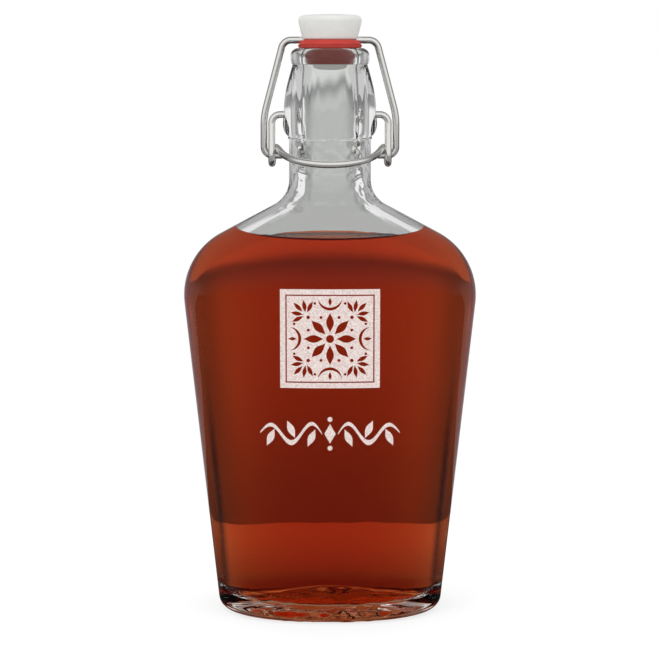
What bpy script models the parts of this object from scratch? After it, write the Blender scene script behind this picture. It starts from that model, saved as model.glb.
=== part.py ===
"""Glass flask with a swing-top closure, modelled in metres with +Z up.

The flask stands on z = 0 with its origin at the middle of its base. Its broad front faces -Y, and the
closure's wires turn about axes that run along X. The closure is modelled shut.
"""

import math

import bmesh
import bpy
from mathutils import Vector

MM = 0.001
SIDES = 40
WIRE_BEVEL_STEPS = 2

# Gap between neighbouring pieces that touch on the real flask
GAP = 0.3 * MM

# Oval body. The shoulder and neck corners are where the straight lines would meet before rounding.
BASE_HALF_WIDTH = 34.6 * MM
BASE_HALF_DEPTH = 24.0 * MM
SHOULDER_HALF_WIDTH = 46.5 * MM
SHOULDER_HALF_DEPTH = 24.5 * MM
SHOULDER_HEIGHT = 110.5 * MM
SHOULDER_RISE = 18.2 * MM
SHOULDER_RADIUS = 21.6 * MM
SHOULDER_DEPTH_RADIUS = 30 * MM
NECK_FILLET = 8.8 * MM
NECK_DEPTH_FILLET = 15.5 * MM
HEEL_RADIUS = 3.2 * MM
BODY_SQUARENESS = 2.3
ROUND_SQUARENESS = 2.0

# Glass thicknesses, measured square to the surface
SIDE_WALL = 4.0 * MM
FRONT_WALL = 3.5 * MM
SHOULDER_WALL = 3.8 * MM
FLOOR_THICKNESS = 5.2 * MM
INNER_HEEL_RADIUS = 7.0 * MM
FLOOR_RISE = 2.0 * MM
BEARING_WIDTH = 4.0 * MM
PUNT_DEPTH = 2.6 * MM
FLOOR_RING_SHARES = (0.7, 0.35)
PUNT_RING_SHARES = (0.4, 0.7, 0.9)

# Neck and finish, stacked upwards from the neck corner
BORE_RADIUS = 8.0 * MM
NECK_WALL = 4.5 * MM
NECK_LENGTH = 17.6 * MM
FOOT_STEP_HEIGHT = 0.7 * MM
FOOT_WALL = 4.75 * MM
BARREL_WALL = 6.05 * MM
BARREL_LOWER_HEIGHT = 8.0 * MM
BARREL_UPPER_HEIGHT = 13.6 * MM
GROOVE_WALL = 3.45 * MM
GROOVE_HEIGHT = 0.4 * MM
LIP_WALL = 4.0 * MM
LIP_HEIGHT = 4.8 * MM
LIP_EDGE_SHARE = 0.58
MOUTH_EDGE_SHARE = 0.3
LIP_FOOT_SHARE = 0.5

# Wire sockets in the barrel's sides, each with a boss of thicker glass round its lower half
PIVOT_BELOW_WIDEST = 1.3 * MM
SOCKET_DEPTH = 1.9 * MM
BOSS_STAND_OUT = 0.35 * MM
BOSS_HALF_THICKNESS = 2.8 * MM
BOSS_HALF_WIDTH = 3.3 * MM
BOSS_HALF_HEIGHT = 4.4 * MM
BOSS_BELOW_PIVOT = 2.6 * MM

# Contents
FILL_HEIGHT = 116.8 * MM

# Steel wires
WIRE_DIAMETER = 2.1 * MM
WIRE_RADIUS = WIRE_DIAMETER / 2
LEVER_SIDE_GAP = 2.7 * MM
LEVER_BEND_RADIUS = 3.6 * MM
LEVER_REACH = 12.45 * MM
OVER_CENTRE = 0.6 * MM
EYE_PLAY = 0.37 * MM
EYE_SHIFT = 1.2 * MM
BOW_NECK_GAP = 0.45 * MM
BOW_DROP = 2.05 * MM
BOW_INSET = 2.25 * MM
BOW_JOIN = 4.0 * MM
HOOK_RADIUS = 2.6 * MM
HOOK_INSIDE = 3.2 * MM
BAIL_SHOULDER_HALF_WIDTH = 13.1 * MM
BAIL_CORNER_RADIUS = 3.0 * MM
BAIL_KNEE_HEIGHT = 12.0 * MM
BAIL_KNEE_RADIUS = 22 * MM

# Rubber seal
WASHER_THICKNESS = 2.0 * MM
WASHER_PRESSED_THICKNESS = 0.75 * MM
FLANGE_SETBACK = 2.2 * MM
FLANGE_EDGE = 0.5 * MM
SLEEVE_CLEARANCE = 0.4 * MM
SLEEVE_TAPER = 1.3 * MM
SLEEVE_DEPTH = 4.2 * MM
SLEEVE_WALL = 1.4 * MM

# Stopper
HEAD_HEIGHT = 7.6 * MM
HEAD_FOOT_SETBACK = 1.4 * MM
HEAD_FLARE = 1.25 * MM
HEAD_EDGE_RADIUS = 2.0 * MM
HEAD_FOOT_EDGE = 0.5 * MM
HEAD_DOME = 0.4 * MM
DOME_RING_SHARES = (0.3, 0.6)
PLUG_FLARE = 0.6 * MM
PLUG_HEIGHT = 2.4 * MM
PLUG_EDGE_RADIUS = 1.3 * MM

# Heights and radii that follow from the sizes above
NECK_CORNER_HEIGHT = SHOULDER_HEIGHT + SHOULDER_RISE
NECK_TOP = NECK_CORNER_HEIGHT + NECK_LENGTH
BARREL_FOOT = NECK_TOP + FOOT_STEP_HEIGHT
BARREL_WIDEST = BARREL_FOOT + BARREL_LOWER_HEIGHT
GROOVE_FOOT = BARREL_WIDEST + BARREL_UPPER_HEIGHT
LIP_FOOT = GROOVE_FOOT + GROOVE_HEIGHT
LIP_TOP = LIP_FOOT + LIP_HEIGHT
NECK_RADIUS = BORE_RADIUS + NECK_WALL
FOOT_RADIUS = BORE_RADIUS + FOOT_WALL
BARREL_RADIUS = BORE_RADIUS + BARREL_WALL
GROOVE_RADIUS = BORE_RADIUS + GROOVE_WALL
LIP_RADIUS = BORE_RADIUS + LIP_WALL
PIVOT_HEIGHT = BARREL_WIDEST - PIVOT_BELOW_WIDEST
EYE_HEIGHT = PIVOT_HEIGHT - LEVER_REACH
EYE_RADIUS = WIRE_DIAMETER + EYE_PLAY
LEVER_HALF_WIDTH = BARREL_RADIUS + LEVER_SIDE_GAP + WIRE_RADIUS
BAIL_HALF_WIDTH = LEVER_HALF_WIDTH + WIRE_DIAMETER + GAP
BAR_HEIGHT = LIP_TOP + GAP + WASHER_PRESSED_THICKNESS + GAP + WIRE_RADIUS
BAIL_RISE = math.hypot(BAR_HEIGHT - EYE_HEIGHT, OVER_CENTRE)
FLANGE_RADIUS = LIP_RADIUS - FLANGE_SETBACK
SLEEVE_RADIUS = BORE_RADIUS - SLEEVE_CLEARANCE
SLEEVE_FOOT_RADIUS = SLEEVE_RADIUS - SLEEVE_TAPER
SLEEVE_BORE = SLEEVE_FOOT_RADIUS - SLEEVE_WALL
STEM_RADIUS = SLEEVE_BORE - GAP
PLUG_RADIUS = STEM_RADIUS + PLUG_FLARE
HEAD_FOOT_HEIGHT = LIP_TOP + GAP + WASHER_THICKNESS + GAP
HEAD_FOOT_RADIUS = FLANGE_RADIUS - HEAD_FOOT_SETBACK
HEAD_RADIUS = HEAD_FOOT_RADIUS + HEAD_FLARE


def clear_scene():
    for obj in list(bpy.data.objects):
        bpy.data.objects.remove(obj, do_unlink=True)


def material(name, color, roughness, metallic=0.0, alpha=1.0):
    made = bpy.data.materials.new(name)
    made.use_nodes = True
    shader = made.node_tree.nodes["Principled BSDF"]
    shader.inputs["Base Color"].default_value = (*color, 1.0)
    shader.inputs["Roughness"].default_value = roughness
    shader.inputs["Metallic"].default_value = metallic
    shader.inputs["Alpha"].default_value = alpha
    made.diffuse_color = (*color, alpha)
    return made


def link_object(name, data, finish, location=(0, 0, 0)):
    data.materials.append(finish)
    obj = bpy.data.objects.new(name, data)
    obj.location = location
    bpy.context.scene.collection.objects.link(obj)
    return obj


def mesh_object(name, bm, finish, location=(0, 0, 0), sharp_degrees=35):
    """Makes a named object from a bmesh, smooth except where it turns sharply."""
    bmesh.ops.recalc_face_normals(bm, faces=bm.faces)
    mesh = bpy.data.meshes.new(name)
    bm.to_mesh(mesh)
    bm.free()
    mesh.shade_smooth()
    mesh.set_sharp_from_angle(angle=math.radians(sharp_degrees))
    return link_object(name, mesh, finish, location)


def arc(centre, radii, start_degrees, end_degrees, steps):
    """Points of an arc of an ellipse, both ends included."""
    points = []
    for step in range(steps + 1):
        angle = math.radians(start_degrees + (end_degrees - start_degrees) * step / steps)
        points.append((centre[0] + radii[0] * math.cos(angle), centre[1] + radii[1] * math.sin(angle)))
    return points


def rounded_line(corners, radii, steps):
    """A line through corner points, with each inner corner replaced by an arc of its radius.

    Each arc is kept short enough to leave part of both straight stretches beside it.
    """
    room_share = 0.48
    points = [Vector(corners[0])]
    for before, corner, after, radius, count in zip(corners, corners[1:], corners[2:], radii, steps):
        corner = Vector(corner)
        back = Vector(before) - corner
        ahead = Vector(after) - corner
        half_angle = back.angle(ahead) / 2
        run = min(radius / math.tan(half_angle), room_share * back.length, room_share * ahead.length)
        radius = run * math.tan(half_angle)
        towards_centre = (back.normalized() + ahead.normalized()).normalized()
        centre = corner + towards_centre * (radius / math.sin(half_angle))
        first = corner + back.normalized() * run - centre
        last = corner + ahead.normalized() * run - centre
        for step in range(count + 1):
            points.append(centre + first.slerp(last, step / count) * radius)
    points.append(Vector(corners[-1]))
    return points


def corner_inside(before, corner, after, wall_before, wall_after):
    """The corner of two lines that lie inside the given ones by a wall each, square to the surface."""
    along = (Vector(corner) - Vector(before)).normalized()
    onward = (Vector(after) - Vector(corner)).normalized()
    shift = Vector((-along.y, along.x)) * wall_before
    shift_on = Vector((-onward.y, onward.x)) * wall_after
    start = Vector(before) + shift
    start_on = Vector(corner) + shift_on
    crossing = along.x * onward.y - along.y * onward.x
    apart = start_on - start
    travel = (apart.x * onward.y - apart.y * onward.x) / crossing
    return start + along * travel


def half_size_at(outline, height):
    """Reads a half width or half depth from an outline that rises all the way."""
    for low, high in zip(outline, outline[1:]):
        if low.y <= height <= high.y:
            share = (height - low.y) / (high.y - low.y)
            return low.x + (high.x - low.x) * share
    return outline[-1].x if height > outline[-1].y else outline[0].x


def squareness_at(height):
    """The section goes from a squarish oval in the body to a circle at the neck corner."""
    share = (height - SHOULDER_HEIGHT) / (NECK_CORNER_HEIGHT - SHOULDER_HEIGHT)
    share = min(max(share, 0), 1)
    return BODY_SQUARENESS + (ROUND_SQUARENESS - BODY_SQUARENESS) * share


def ring(half_width, half_depth, height, squareness=ROUND_SQUARENESS):
    """One level ring of points, an oval whose sides are squarer the higher its squareness."""
    points = []
    power = 2 / squareness
    for side in range(SIDES):
        angle = 2 * math.pi * side / SIDES
        across = math.cos(angle)
        along = math.sin(angle)
        x = math.copysign(abs(across) ** power, across) * half_width
        y = math.copysign(abs(along) ** power, along) * half_depth
        points.append((x, y, height))
    return points


def round_rings(outline):
    return [ring(radius, radius, height) for radius, height in outline]


def skin(bm, rings, first_pole=None, last_pole=None):
    """Joins rings into a surface and closes each end with a fan to its pole."""
    rows = [[bm.verts.new(point) for point in points] for points in rings]
    for low, high in zip(rows, rows[1:]):
        for side in range(SIDES):
            after = (side + 1) % SIDES
            bm.faces.new((low[side], low[after], high[after], high[side]))
    for pole, row in ((first_pole, rows[0]), (last_pole, rows[-1])):
        if pole is None:
            continue
        tip = bm.verts.new(pole)
        for side in range(SIDES):
            bm.faces.new((row[side], row[(side + 1) % SIDES], tip))
    if first_pole is None and last_pole is None:
        for side in range(SIDES):
            after = (side + 1) % SIDES
            bm.faces.new((rows[-1][side], rows[-1][after], rows[0][after], rows[0][side]))


def outer_lines():
    """The body's outline from the front and from the side, from the base to the top of the neck."""
    width = [
        (BASE_HALF_WIDTH, 0),
        (SHOULDER_HALF_WIDTH, SHOULDER_HEIGHT),
        (NECK_RADIUS, NECK_CORNER_HEIGHT),
        (NECK_RADIUS, NECK_TOP),
    ]
    depth = [
        (BASE_HALF_DEPTH, 0),
        (SHOULDER_HALF_DEPTH, SHOULDER_HEIGHT),
        (NECK_RADIUS, NECK_CORNER_HEIGHT),
        (NECK_RADIUS, NECK_TOP),
    ]
    return width, depth


def inner_line(line, flank_wall, clearance):
    """An outline of the cavity: the outer line moved in by the walls and by a clearance."""
    base, shoulder, neck, top = line
    flank = flank_wall + clearance
    slope = SHOULDER_WALL + clearance
    bore = BORE_RADIUS - clearance
    inner_shoulder = corner_inside(base, shoulder, neck, flank, slope)
    inner_neck = corner_inside(shoulder, neck, top, slope, neck[0] - bore)
    foot = corner_inside((0, 0), base, shoulder, FLOOR_THICKNESS + clearance, flank)
    return [foot, inner_shoulder, inner_neck, (bore, top[1])]


def outer_rings():
    """The outside of the oval body and the straight neck, from the edge of the base upwards."""
    width, depth = outer_lines()
    smooth_width = rounded_line(width, (SHOULDER_RADIUS, NECK_FILLET), (9, 8))
    smooth_depth = rounded_line(depth, (SHOULDER_DEPTH_RADIUS, NECK_DEPTH_FILLET), (12, 12))
    rings = []
    heel_steps = 4
    for step in range(heel_steps + 1):
        angle = math.pi / 2 * step / heel_steps
        height = HEEL_RADIUS * (1 - math.cos(angle))
        inset = HEEL_RADIUS * (1 - math.sin(angle))
        half_width = half_size_at(smooth_width, height) - inset
        half_depth = half_size_at(smooth_depth, height) - inset
        rings.append(ring(half_width, half_depth, height, BODY_SQUARENESS))
    middle = (HEEL_RADIUS + smooth_width[1].y) / 2
    heights = [middle] + [point.y for point in smooth_width[1:-1]]
    for height in heights:
        half_width = half_size_at(smooth_width, height)
        half_depth = half_size_at(smooth_depth, height)
        rings.append(ring(half_width, half_depth, height, squareness_at(height)))
    return rings


def cavity_rings(clearance, top):
    """The inside of the oval body from the top given down to the floor, shrunk by a clearance."""
    width, depth = outer_lines()
    inner_width = inner_line(width, SIDE_WALL, clearance)
    inner_depth = inner_line(depth, FRONT_WALL, clearance)
    width_radii = (SHOULDER_RADIUS - SHOULDER_WALL, NECK_FILLET + NECK_WALL)
    depth_radii = (SHOULDER_DEPTH_RADIUS - SHOULDER_WALL, NECK_DEPTH_FILLET + NECK_WALL)
    smooth_width = rounded_line(inner_width, width_radii, (8, 8))
    smooth_depth = rounded_line(inner_depth, depth_radii, (12, 12))
    rings = []
    for point in reversed(smooth_width[1:-1]):
        if point.y < top:
            half_depth = half_size_at(smooth_depth, point.y)
            rings.append(ring(point.x, half_depth, point.y, squareness_at(point.y)))
    if top < smooth_width[-1].y:
        half_width = half_size_at(smooth_width, top)
        half_depth = half_size_at(smooth_depth, top)
        rings.insert(0, ring(half_width, half_depth, top, squareness_at(top)))
    floor = FLOOR_THICKNESS + clearance
    heel = INNER_HEEL_RADIUS - clearance
    heel_steps = 5
    for step in range(heel_steps + 1):
        angle = math.pi / 2 * step / heel_steps
        height = floor + heel * (1 - math.sin(angle))
        inset = heel * (1 - math.cos(angle))
        half_width = half_size_at(smooth_width, height) - inset
        half_depth = half_size_at(smooth_depth, height) - inset
        rings.append(ring(half_width, half_depth, height, BODY_SQUARENESS))
    foot_width = half_size_at(smooth_width, floor) - heel
    foot_depth = half_size_at(smooth_depth, floor) - heel
    for share in FLOOR_RING_SHARES:
        height = floor + FLOOR_RISE * (1 - share**2)
        rings.append(ring(foot_width * share, foot_depth * share, height, BODY_SQUARENESS))
    return rings, (0, 0, floor + FLOOR_RISE)


def base_rings():
    """The underside, from the hollow's middle out to the edge of the flat bearing ring."""
    outer_width = BASE_HALF_WIDTH - HEEL_RADIUS
    outer_depth = BASE_HALF_DEPTH - HEEL_RADIUS
    hollow_width = outer_width - BEARING_WIDTH
    hollow_depth = outer_depth - BEARING_WIDTH
    rings = []
    for share in PUNT_RING_SHARES:
        height = PUNT_DEPTH * math.sqrt(1 - share**2)
        rings.append(ring(hollow_width * share, hollow_depth * share, height, BODY_SQUARENESS))
    rings.append(ring(hollow_width, hollow_depth, 0, BODY_SQUARENESS))
    return rings, (0, 0, PUNT_DEPTH)


def finish_outline():
    """Radius and height of the round upper part: step, barrel, groove, lip and mouth."""
    outline = [(NECK_RADIUS, NECK_TOP), (FOOT_RADIUS, BARREL_FOOT)]
    lower_steps = 5
    for step in range(1, lower_steps + 1):
        share = step / lower_steps
        swell = math.sin(math.pi / 2 * share)
        radius = FOOT_RADIUS + (BARREL_RADIUS - FOOT_RADIUS) * swell
        outline.append((radius, BARREL_FOOT + BARREL_LOWER_HEIGHT * share))
    upper_steps = 7
    for step in range(1, upper_steps + 1):
        share = step / upper_steps
        swell = math.cos(math.pi / 2 * share)
        radius = GROOVE_RADIUS + (BARREL_RADIUS - GROOVE_RADIUS) * swell
        outline.append((radius, BARREL_WIDEST + BARREL_UPPER_HEIGHT * share))
    outline.append((GROOVE_RADIUS, LIP_FOOT))
    lip_foot_rise = LIP_HEIGHT * LIP_FOOT_SHARE
    foot_bulge = (LIP_RADIUS - GROOVE_RADIUS, lip_foot_rise)
    outline += arc((GROOVE_RADIUS, LIP_FOOT + lip_foot_rise), foot_bulge, -60, 0, 3)
    edge = LIP_WALL * LIP_EDGE_SHARE
    outline += arc((LIP_RADIUS - edge, LIP_TOP - edge), (edge, edge), 0, 90, 6)
    mouth = LIP_WALL * MOUTH_EDGE_SHARE
    outline += arc((BORE_RADIUS + mouth, LIP_TOP - mouth), (mouth, mouth), 90, 180, 4)
    return outline


def ellipsoid(name, centre, half_sizes, finish):
    bm = bmesh.new()
    bmesh.ops.create_uvsphere(bm, u_segments=16, v_segments=10, radius=1)
    bmesh.ops.scale(bm, vec=half_sizes, verts=bm.verts)
    return mesh_object(name, bm, finish, centre)


def cross_cylinder(name, centre, radius, length, finish):
    """A cylinder that lies along X."""
    bm = bmesh.new()
    bmesh.ops.create_cone(
        bm, cap_ends=True, segments=20, radius1=radius, radius2=radius, depth=length
    )
    obj = mesh_object(name, bm, finish, centre)
    obj.rotation_euler.y = math.pi / 2
    return obj


def combine(obj, helper, operation):
    """Adds or cuts a hidden helper shape with an exact boolean."""
    helper.hide_render = True
    helper.display_type = "WIRE"
    change = obj.modifiers.new(helper.name, "BOOLEAN")
    change.operation = operation
    change.solver = "EXACT"
    change.object = helper


def make_flask_body(glass):
    under, under_pole = base_rings()
    inside, floor_pole = cavity_rings(0, NECK_TOP)
    rings = under + outer_rings() + round_rings(finish_outline()) + inside
    bm = bmesh.new()
    skin(bm, rings, under_pole, floor_pole)
    body = mesh_object("flask_body", bm, glass)
    boss_centre = BARREL_RADIUS + BOSS_STAND_OUT - BOSS_HALF_THICKNESS
    boss_sizes = (BOSS_HALF_THICKNESS, BOSS_HALF_WIDTH, BOSS_HALF_HEIGHT)
    boss_height = PIVOT_HEIGHT - BOSS_BELOW_PIVOT
    socket_inner = BARREL_RADIUS - SOCKET_DEPTH
    socket_outer = BARREL_RADIUS + BOSS_STAND_OUT + GAP
    for side, word in ((-1, "left"), (1, "right")):
        boss = ellipsoid(f"boss_{word}", (side * boss_centre, 0, boss_height), boss_sizes, glass)
        combine(body, boss, "UNION")
    for side, word in ((-1, "left"), (1, "right")):
        middle = side * (socket_inner + socket_outer) / 2
        socket = cross_cylinder(
            f"socket_{word}",
            (middle, 0, PIVOT_HEIGHT),
            WIRE_RADIUS + GAP,
            socket_outer - socket_inner,
            glass,
        )
        combine(body, socket, "DIFFERENCE")
    return body


def make_liquid(amber):
    rings, floor_pole = cavity_rings(GAP, FILL_HEIGHT)
    bm = bmesh.new()
    skin(bm, rings, (0, 0, FILL_HEIGHT), floor_pole)
    return mesh_object("liquid_fill", bm, amber)


def stopper_outline():
    """Radius and height of the stopper from its domed top down to the plug's flat end."""
    top = HEAD_FOOT_HEIGHT + HEAD_HEIGHT
    shoulder = top - HEAD_DOME
    edge = HEAD_EDGE_RADIUS
    outline = [(HEAD_RADIUS * share, top - HEAD_DOME * share**2) for share in DOME_RING_SHARES]
    outline += arc((HEAD_RADIUS - edge, shoulder - edge), (edge, edge), 90, 0, 5)
    outline.append((HEAD_FOOT_RADIUS, HEAD_FOOT_HEIGHT + HEAD_FOOT_EDGE))
    outline.append((HEAD_FOOT_RADIUS - HEAD_FOOT_EDGE, HEAD_FOOT_HEIGHT))
    outline.append((STEM_RADIUS, HEAD_FOOT_HEIGHT))
    plug_top = LIP_TOP - SLEEVE_DEPTH - GAP
    plug_end = plug_top - PLUG_HEIGHT
    edge = PLUG_EDGE_RADIUS
    outline.append((STEM_RADIUS, plug_top))
    outline.append((PLUG_RADIUS, plug_top))
    outline += arc((PLUG_RADIUS - edge, plug_end + edge), (edge, edge), 0, -90, 4)
    return outline, top, plug_end


def make_stopper(plastic):
    outline, top, plug_end = stopper_outline()
    bm = bmesh.new()
    skin(bm, round_rings(outline), (0, 0, top), (0, 0, plug_end))
    bmesh.ops.translate(bm, verts=bm.verts, vec=(0, 0, -BAR_HEIGHT))
    stopper = mesh_object("stopper", bm, plastic, (0, 0, BAR_HEIGHT))
    hole = cross_cylinder(
        "bar_hole", (0, 0, BAR_HEIGHT), WIRE_RADIUS + GAP, 2 * (HEAD_RADIUS + GAP), plastic
    )
    combine(stopper, hole, "DIFFERENCE")
    return stopper


def make_seal_washer(rubber):
    """A flange on the lip and a tapered sleeve in the mouth.

    The bar presses the flange down at its sides.
    """
    seat = LIP_TOP + GAP
    top = seat + WASHER_THICKNESS
    press = WASHER_THICKNESS - WASHER_PRESSED_THICKNESS
    edge = FLANGE_EDGE
    throat = LIP_TOP - LIP_WALL * MOUTH_EDGE_SHARE
    lower = seat + edge / 2
    outline = [
        (SLEEVE_BORE, top),
        (FLANGE_RADIUS - edge, top),
        (FLANGE_RADIUS, top - edge),
        (FLANGE_RADIUS, lower),
        (FLANGE_RADIUS - edge / 2, seat),
        (SLEEVE_RADIUS, seat),
        (SLEEVE_RADIUS, throat),
        (SLEEVE_FOOT_RADIUS, LIP_TOP - SLEEVE_DEPTH),
        (SLEEVE_BORE, LIP_TOP - SLEEVE_DEPTH),
    ]
    bm = bmesh.new()
    skin(bm, round_rings(outline))
    for vert in bm.verts:
        if vert.co.z > lower:
            towards_bar = vert.co.x**2 / (vert.co.x**2 + vert.co.y**2)
            vert.co.z -= press * towards_bar * (vert.co.z - lower) / (top - lower)
    bmesh.ops.translate(bm, verts=bm.verts, vec=(0, 0, -BAR_HEIGHT))
    return mesh_object("seal_washer", bm, rubber, (0, 0, BAR_HEIGHT))


def bend(start, corner, end, radius, steps):
    """The rounded corner of a wire, without the far ends of its two straight stretches."""
    return rounded_line([start, corner, end], [radius], [steps])[1:-1]


def blend(start, start_pull, end, end_pull, steps):
    """Points between two ends of a smooth curve, each end left along its own pull."""
    points = []
    for step in range(1, steps):
        t = step / steps
        points.append(
            Vector(start) * (2 * t**3 - 3 * t**2 + 1)
            + Vector(start_pull) * (t**3 - 2 * t**2 + t)
            + Vector(end) * (3 * t**2 - 2 * t**3)
            + Vector(end_pull) * (t**3 - t**2)
        )
    return points


def wire_object(name, half, finish, location):
    """A round wire through the points of its right half and their mirror images."""
    left = [Vector((-point.x, point.y, point.z)) for point in half]
    route = left[::-1] + half[1:] if half[0].x == 0 else left[::-1] + half
    curve = bpy.data.curves.new(name, "CURVE")
    curve.dimensions = "3D"
    curve.bevel_depth = WIRE_RADIUS
    curve.bevel_resolution = WIRE_BEVEL_STEPS
    curve.use_fill_caps = True
    spline = curve.splines.new("POLY")
    spline.points.add(len(route) - 1)
    for place, point in zip(spline.points, route):
        place.co = (*point, 1)
    spline.use_smooth = True
    return link_object(name, curve, finish, location)


def bail_half_route():
    """The right half of the bail, in a frame with its hooks' axis at z = 0 and its bar straight above."""
    bar_middle = (0, 0, BAIL_RISE)
    corner = (BAIL_SHOULDER_HALF_WIDTH, 0, BAIL_RISE)
    knee = (BAIL_HALF_WIDTH, 0, BAIL_KNEE_HEIGHT)
    hook_corner = (BAIL_HALF_WIDTH, 0, 0)
    hook_end = (LEVER_HALF_WIDTH - HOOK_INSIDE, 0, 0)
    corners = [bar_middle, corner, knee, hook_corner, hook_end]
    radii = (BAIL_CORNER_RADIUS, BAIL_KNEE_RADIUS, HOOK_RADIUS)
    return rounded_line(corners, radii, (6, 5, 7))


def bow_point(angle, front, half_width):
    """A point of the bow, which leans down from the eyes' tops to its front."""
    y = -front * math.sin(angle)
    lean = (EYE_RADIUS + BOW_DROP) / front
    return Vector((half_width * math.cos(angle), y, EYE_RADIUS + lean * y))


def lever_half_route():
    """The right half of the lever wire, in a frame with its socket axis at z = 0.

    From the middle of the bow: back to the eye, one turn round the eye, up the leg and into the socket.
    """
    front = NECK_RADIUS + BOW_NECK_GAP + WIRE_RADIUS
    half_width = LEVER_HALF_WIDTH - BOW_INSET
    eye = Vector((0, OVER_CENTRE, -LEVER_REACH))
    join_angle = math.asin(BOW_JOIN / front)
    bow_steps = 9
    bow = []
    for step in range(bow_steps + 1):
        angle = math.pi / 2 + (join_angle - math.pi / 2) * step / bow_steps
        bow.append(bow_point(angle, front, half_width) + Vector((0, 0, eye.z)))
    eye_steps = 12
    turn = []
    for step in range(eye_steps + 1):
        share = 1 - step / eye_steps
        angle = math.pi * (1 + 1.5 * share)
        x = LEVER_HALF_WIDTH - EYE_SHIFT * share**3
        turn.append(eye + Vector((x, EYE_RADIUS * math.cos(angle), EYE_RADIUS * math.sin(angle))))
    into_eye = (bow[-1] - bow[-2]).normalized() * BOW_JOIN
    over_eye = (turn[1] - turn[0]).normalized() * BOW_JOIN
    link = blend(bow[-1], into_eye, turn[0], over_eye, 5)
    socket_end = (BARREL_RADIUS - SOCKET_DEPTH + GAP, 0, 0)
    top_corner = (LEVER_HALF_WIDTH, 0, 0)
    leg_foot = (LEVER_HALF_WIDTH, 0, -LEVER_REACH)
    socket_bend = bend(leg_foot, top_corner, socket_end, LEVER_BEND_RADIUS, 6)
    leg_top = socket_bend[0]
    down = Vector((0, 0, leg_top.z - turn[-1].z))
    leg = blend(turn[-1], down, leg_top, down, 5)
    return bow + link + turn + leg + socket_bend + [Vector(socket_end)]


def make_bail_wire(steel):
    hooks = (0, OVER_CENTRE, EYE_HEIGHT)
    bail = wire_object("bail_wire", bail_half_route(), steel, hooks)
    bail.rotation_euler.x = math.asin(OVER_CENTRE / BAIL_RISE)
    return bail


def make_lever_wire(steel):
    return wire_object("lever_wire", lever_half_route(), steel, (0, 0, PIVOT_HEIGHT))


def main():
    clear_scene()
    glass = material("clear_glass", (0.78, 0.80, 0.78), 0.03, alpha=0.35)
    amber = material("amber_liquid", (0.20, 0.025, 0.006), 0.05, alpha=0.9)
    plastic = material("white_plastic", (0.84, 0.84, 0.82), 0.35)
    rubber = material("red_rubber", (0.60, 0.045, 0.03), 0.55)
    steel = material("bright_steel", (0.62, 0.61, 0.59), 0.22, metallic=1.0)
    make_flask_body(glass)
    make_liquid(amber)
    make_stopper(plastic)
    make_seal_washer(rubber)
    make_bail_wire(steel)
    make_lever_wire(steel)


main()
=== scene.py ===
"""Looks of the swing-top glass flask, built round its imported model.

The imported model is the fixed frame. Each of its six nodes is stood for here by a finer piece in the same
place, an etched ornament is laid on the broad front, and a plain pale studio is set up round them.
Lengths are in metres, +Z is up, the broad front faces -Y and the wires turn about axes along X.
"""

import logging
import math
from dataclasses import dataclass, replace
from enum import Enum
from typing import Any, Iterable, Sequence

import bmesh
import bpy
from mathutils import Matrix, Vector, noise

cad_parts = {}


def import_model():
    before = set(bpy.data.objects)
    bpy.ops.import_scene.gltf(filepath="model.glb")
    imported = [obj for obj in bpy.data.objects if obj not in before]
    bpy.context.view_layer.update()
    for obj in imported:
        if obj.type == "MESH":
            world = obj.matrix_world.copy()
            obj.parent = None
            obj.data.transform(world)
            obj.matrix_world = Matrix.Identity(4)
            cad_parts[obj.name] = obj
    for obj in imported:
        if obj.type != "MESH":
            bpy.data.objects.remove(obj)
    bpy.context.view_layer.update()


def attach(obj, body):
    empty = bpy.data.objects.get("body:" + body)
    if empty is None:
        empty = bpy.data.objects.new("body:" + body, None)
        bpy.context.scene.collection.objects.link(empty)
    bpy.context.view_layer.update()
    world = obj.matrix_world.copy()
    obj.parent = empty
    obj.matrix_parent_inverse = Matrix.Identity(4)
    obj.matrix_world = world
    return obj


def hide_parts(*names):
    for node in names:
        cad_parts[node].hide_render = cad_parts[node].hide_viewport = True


LOG = logging.getLogger("flask")

MM = 0.001
FULL_TURN = 2 * math.pi
QUARTER_TURN = math.pi / 2
MERGE_DISTANCE = 0.001 * MM
SIDE_LAYER = "side"
RIPPLE_SEED = 5
WHITE = (1.0, 1.0, 1.0)

Pair = tuple[float, float]
Colour = tuple[float, float, float]
Loop = list[Pair]
Lines = tuple[list[Vector], list[Vector]]


class Side(Enum):
    """The two sides of the flask, with the sign of x on each."""

    LEFT = -1
    RIGHT = 1


class Zone(Enum):
    """The zones of a piece, each with a material of its own."""

    MAIN = 0
    SECOND = 1


class Slot(Enum):
    """The record's material slots, one named for each kind of piece."""

    GLASS = "clear_glass"
    LIQUID = "amber_liquid"
    PLASTIC = "white_plastic"
    RUBBER = "red_rubber"
    STEEL = "bright_steel"


class Effect(Enum):
    """The shader node groups that the finishes share."""

    WAVES = "surface_waves"
    GRAIN = "fine_grain"
    MARKS = "handling_marks"
    FOOT = "foot_mask"
    FLANK = "flank_mask"


# Selecting and applying


def deselect_all() -> None:
    """Leaves object mode on and nothing selected."""
    if bpy.context.mode != "OBJECT":
        bpy.ops.object.mode_set(mode="OBJECT")
    bpy.ops.object.select_all(action="DESELECT")


def select_only(obj: bpy.types.Object) -> None:
    """Selects an object alone and makes it the active one.

    Args:
        obj: The object.
    """
    deselect_all()
    obj.select_set(True)
    bpy.context.view_layer.objects.active = obj


def apply_place(obj: bpy.types.Object) -> None:
    """Moves an object's place, turn and scale into its mesh."""
    select_only(obj)
    bpy.ops.object.transform_apply(location=True, rotation=True, scale=True)


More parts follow.
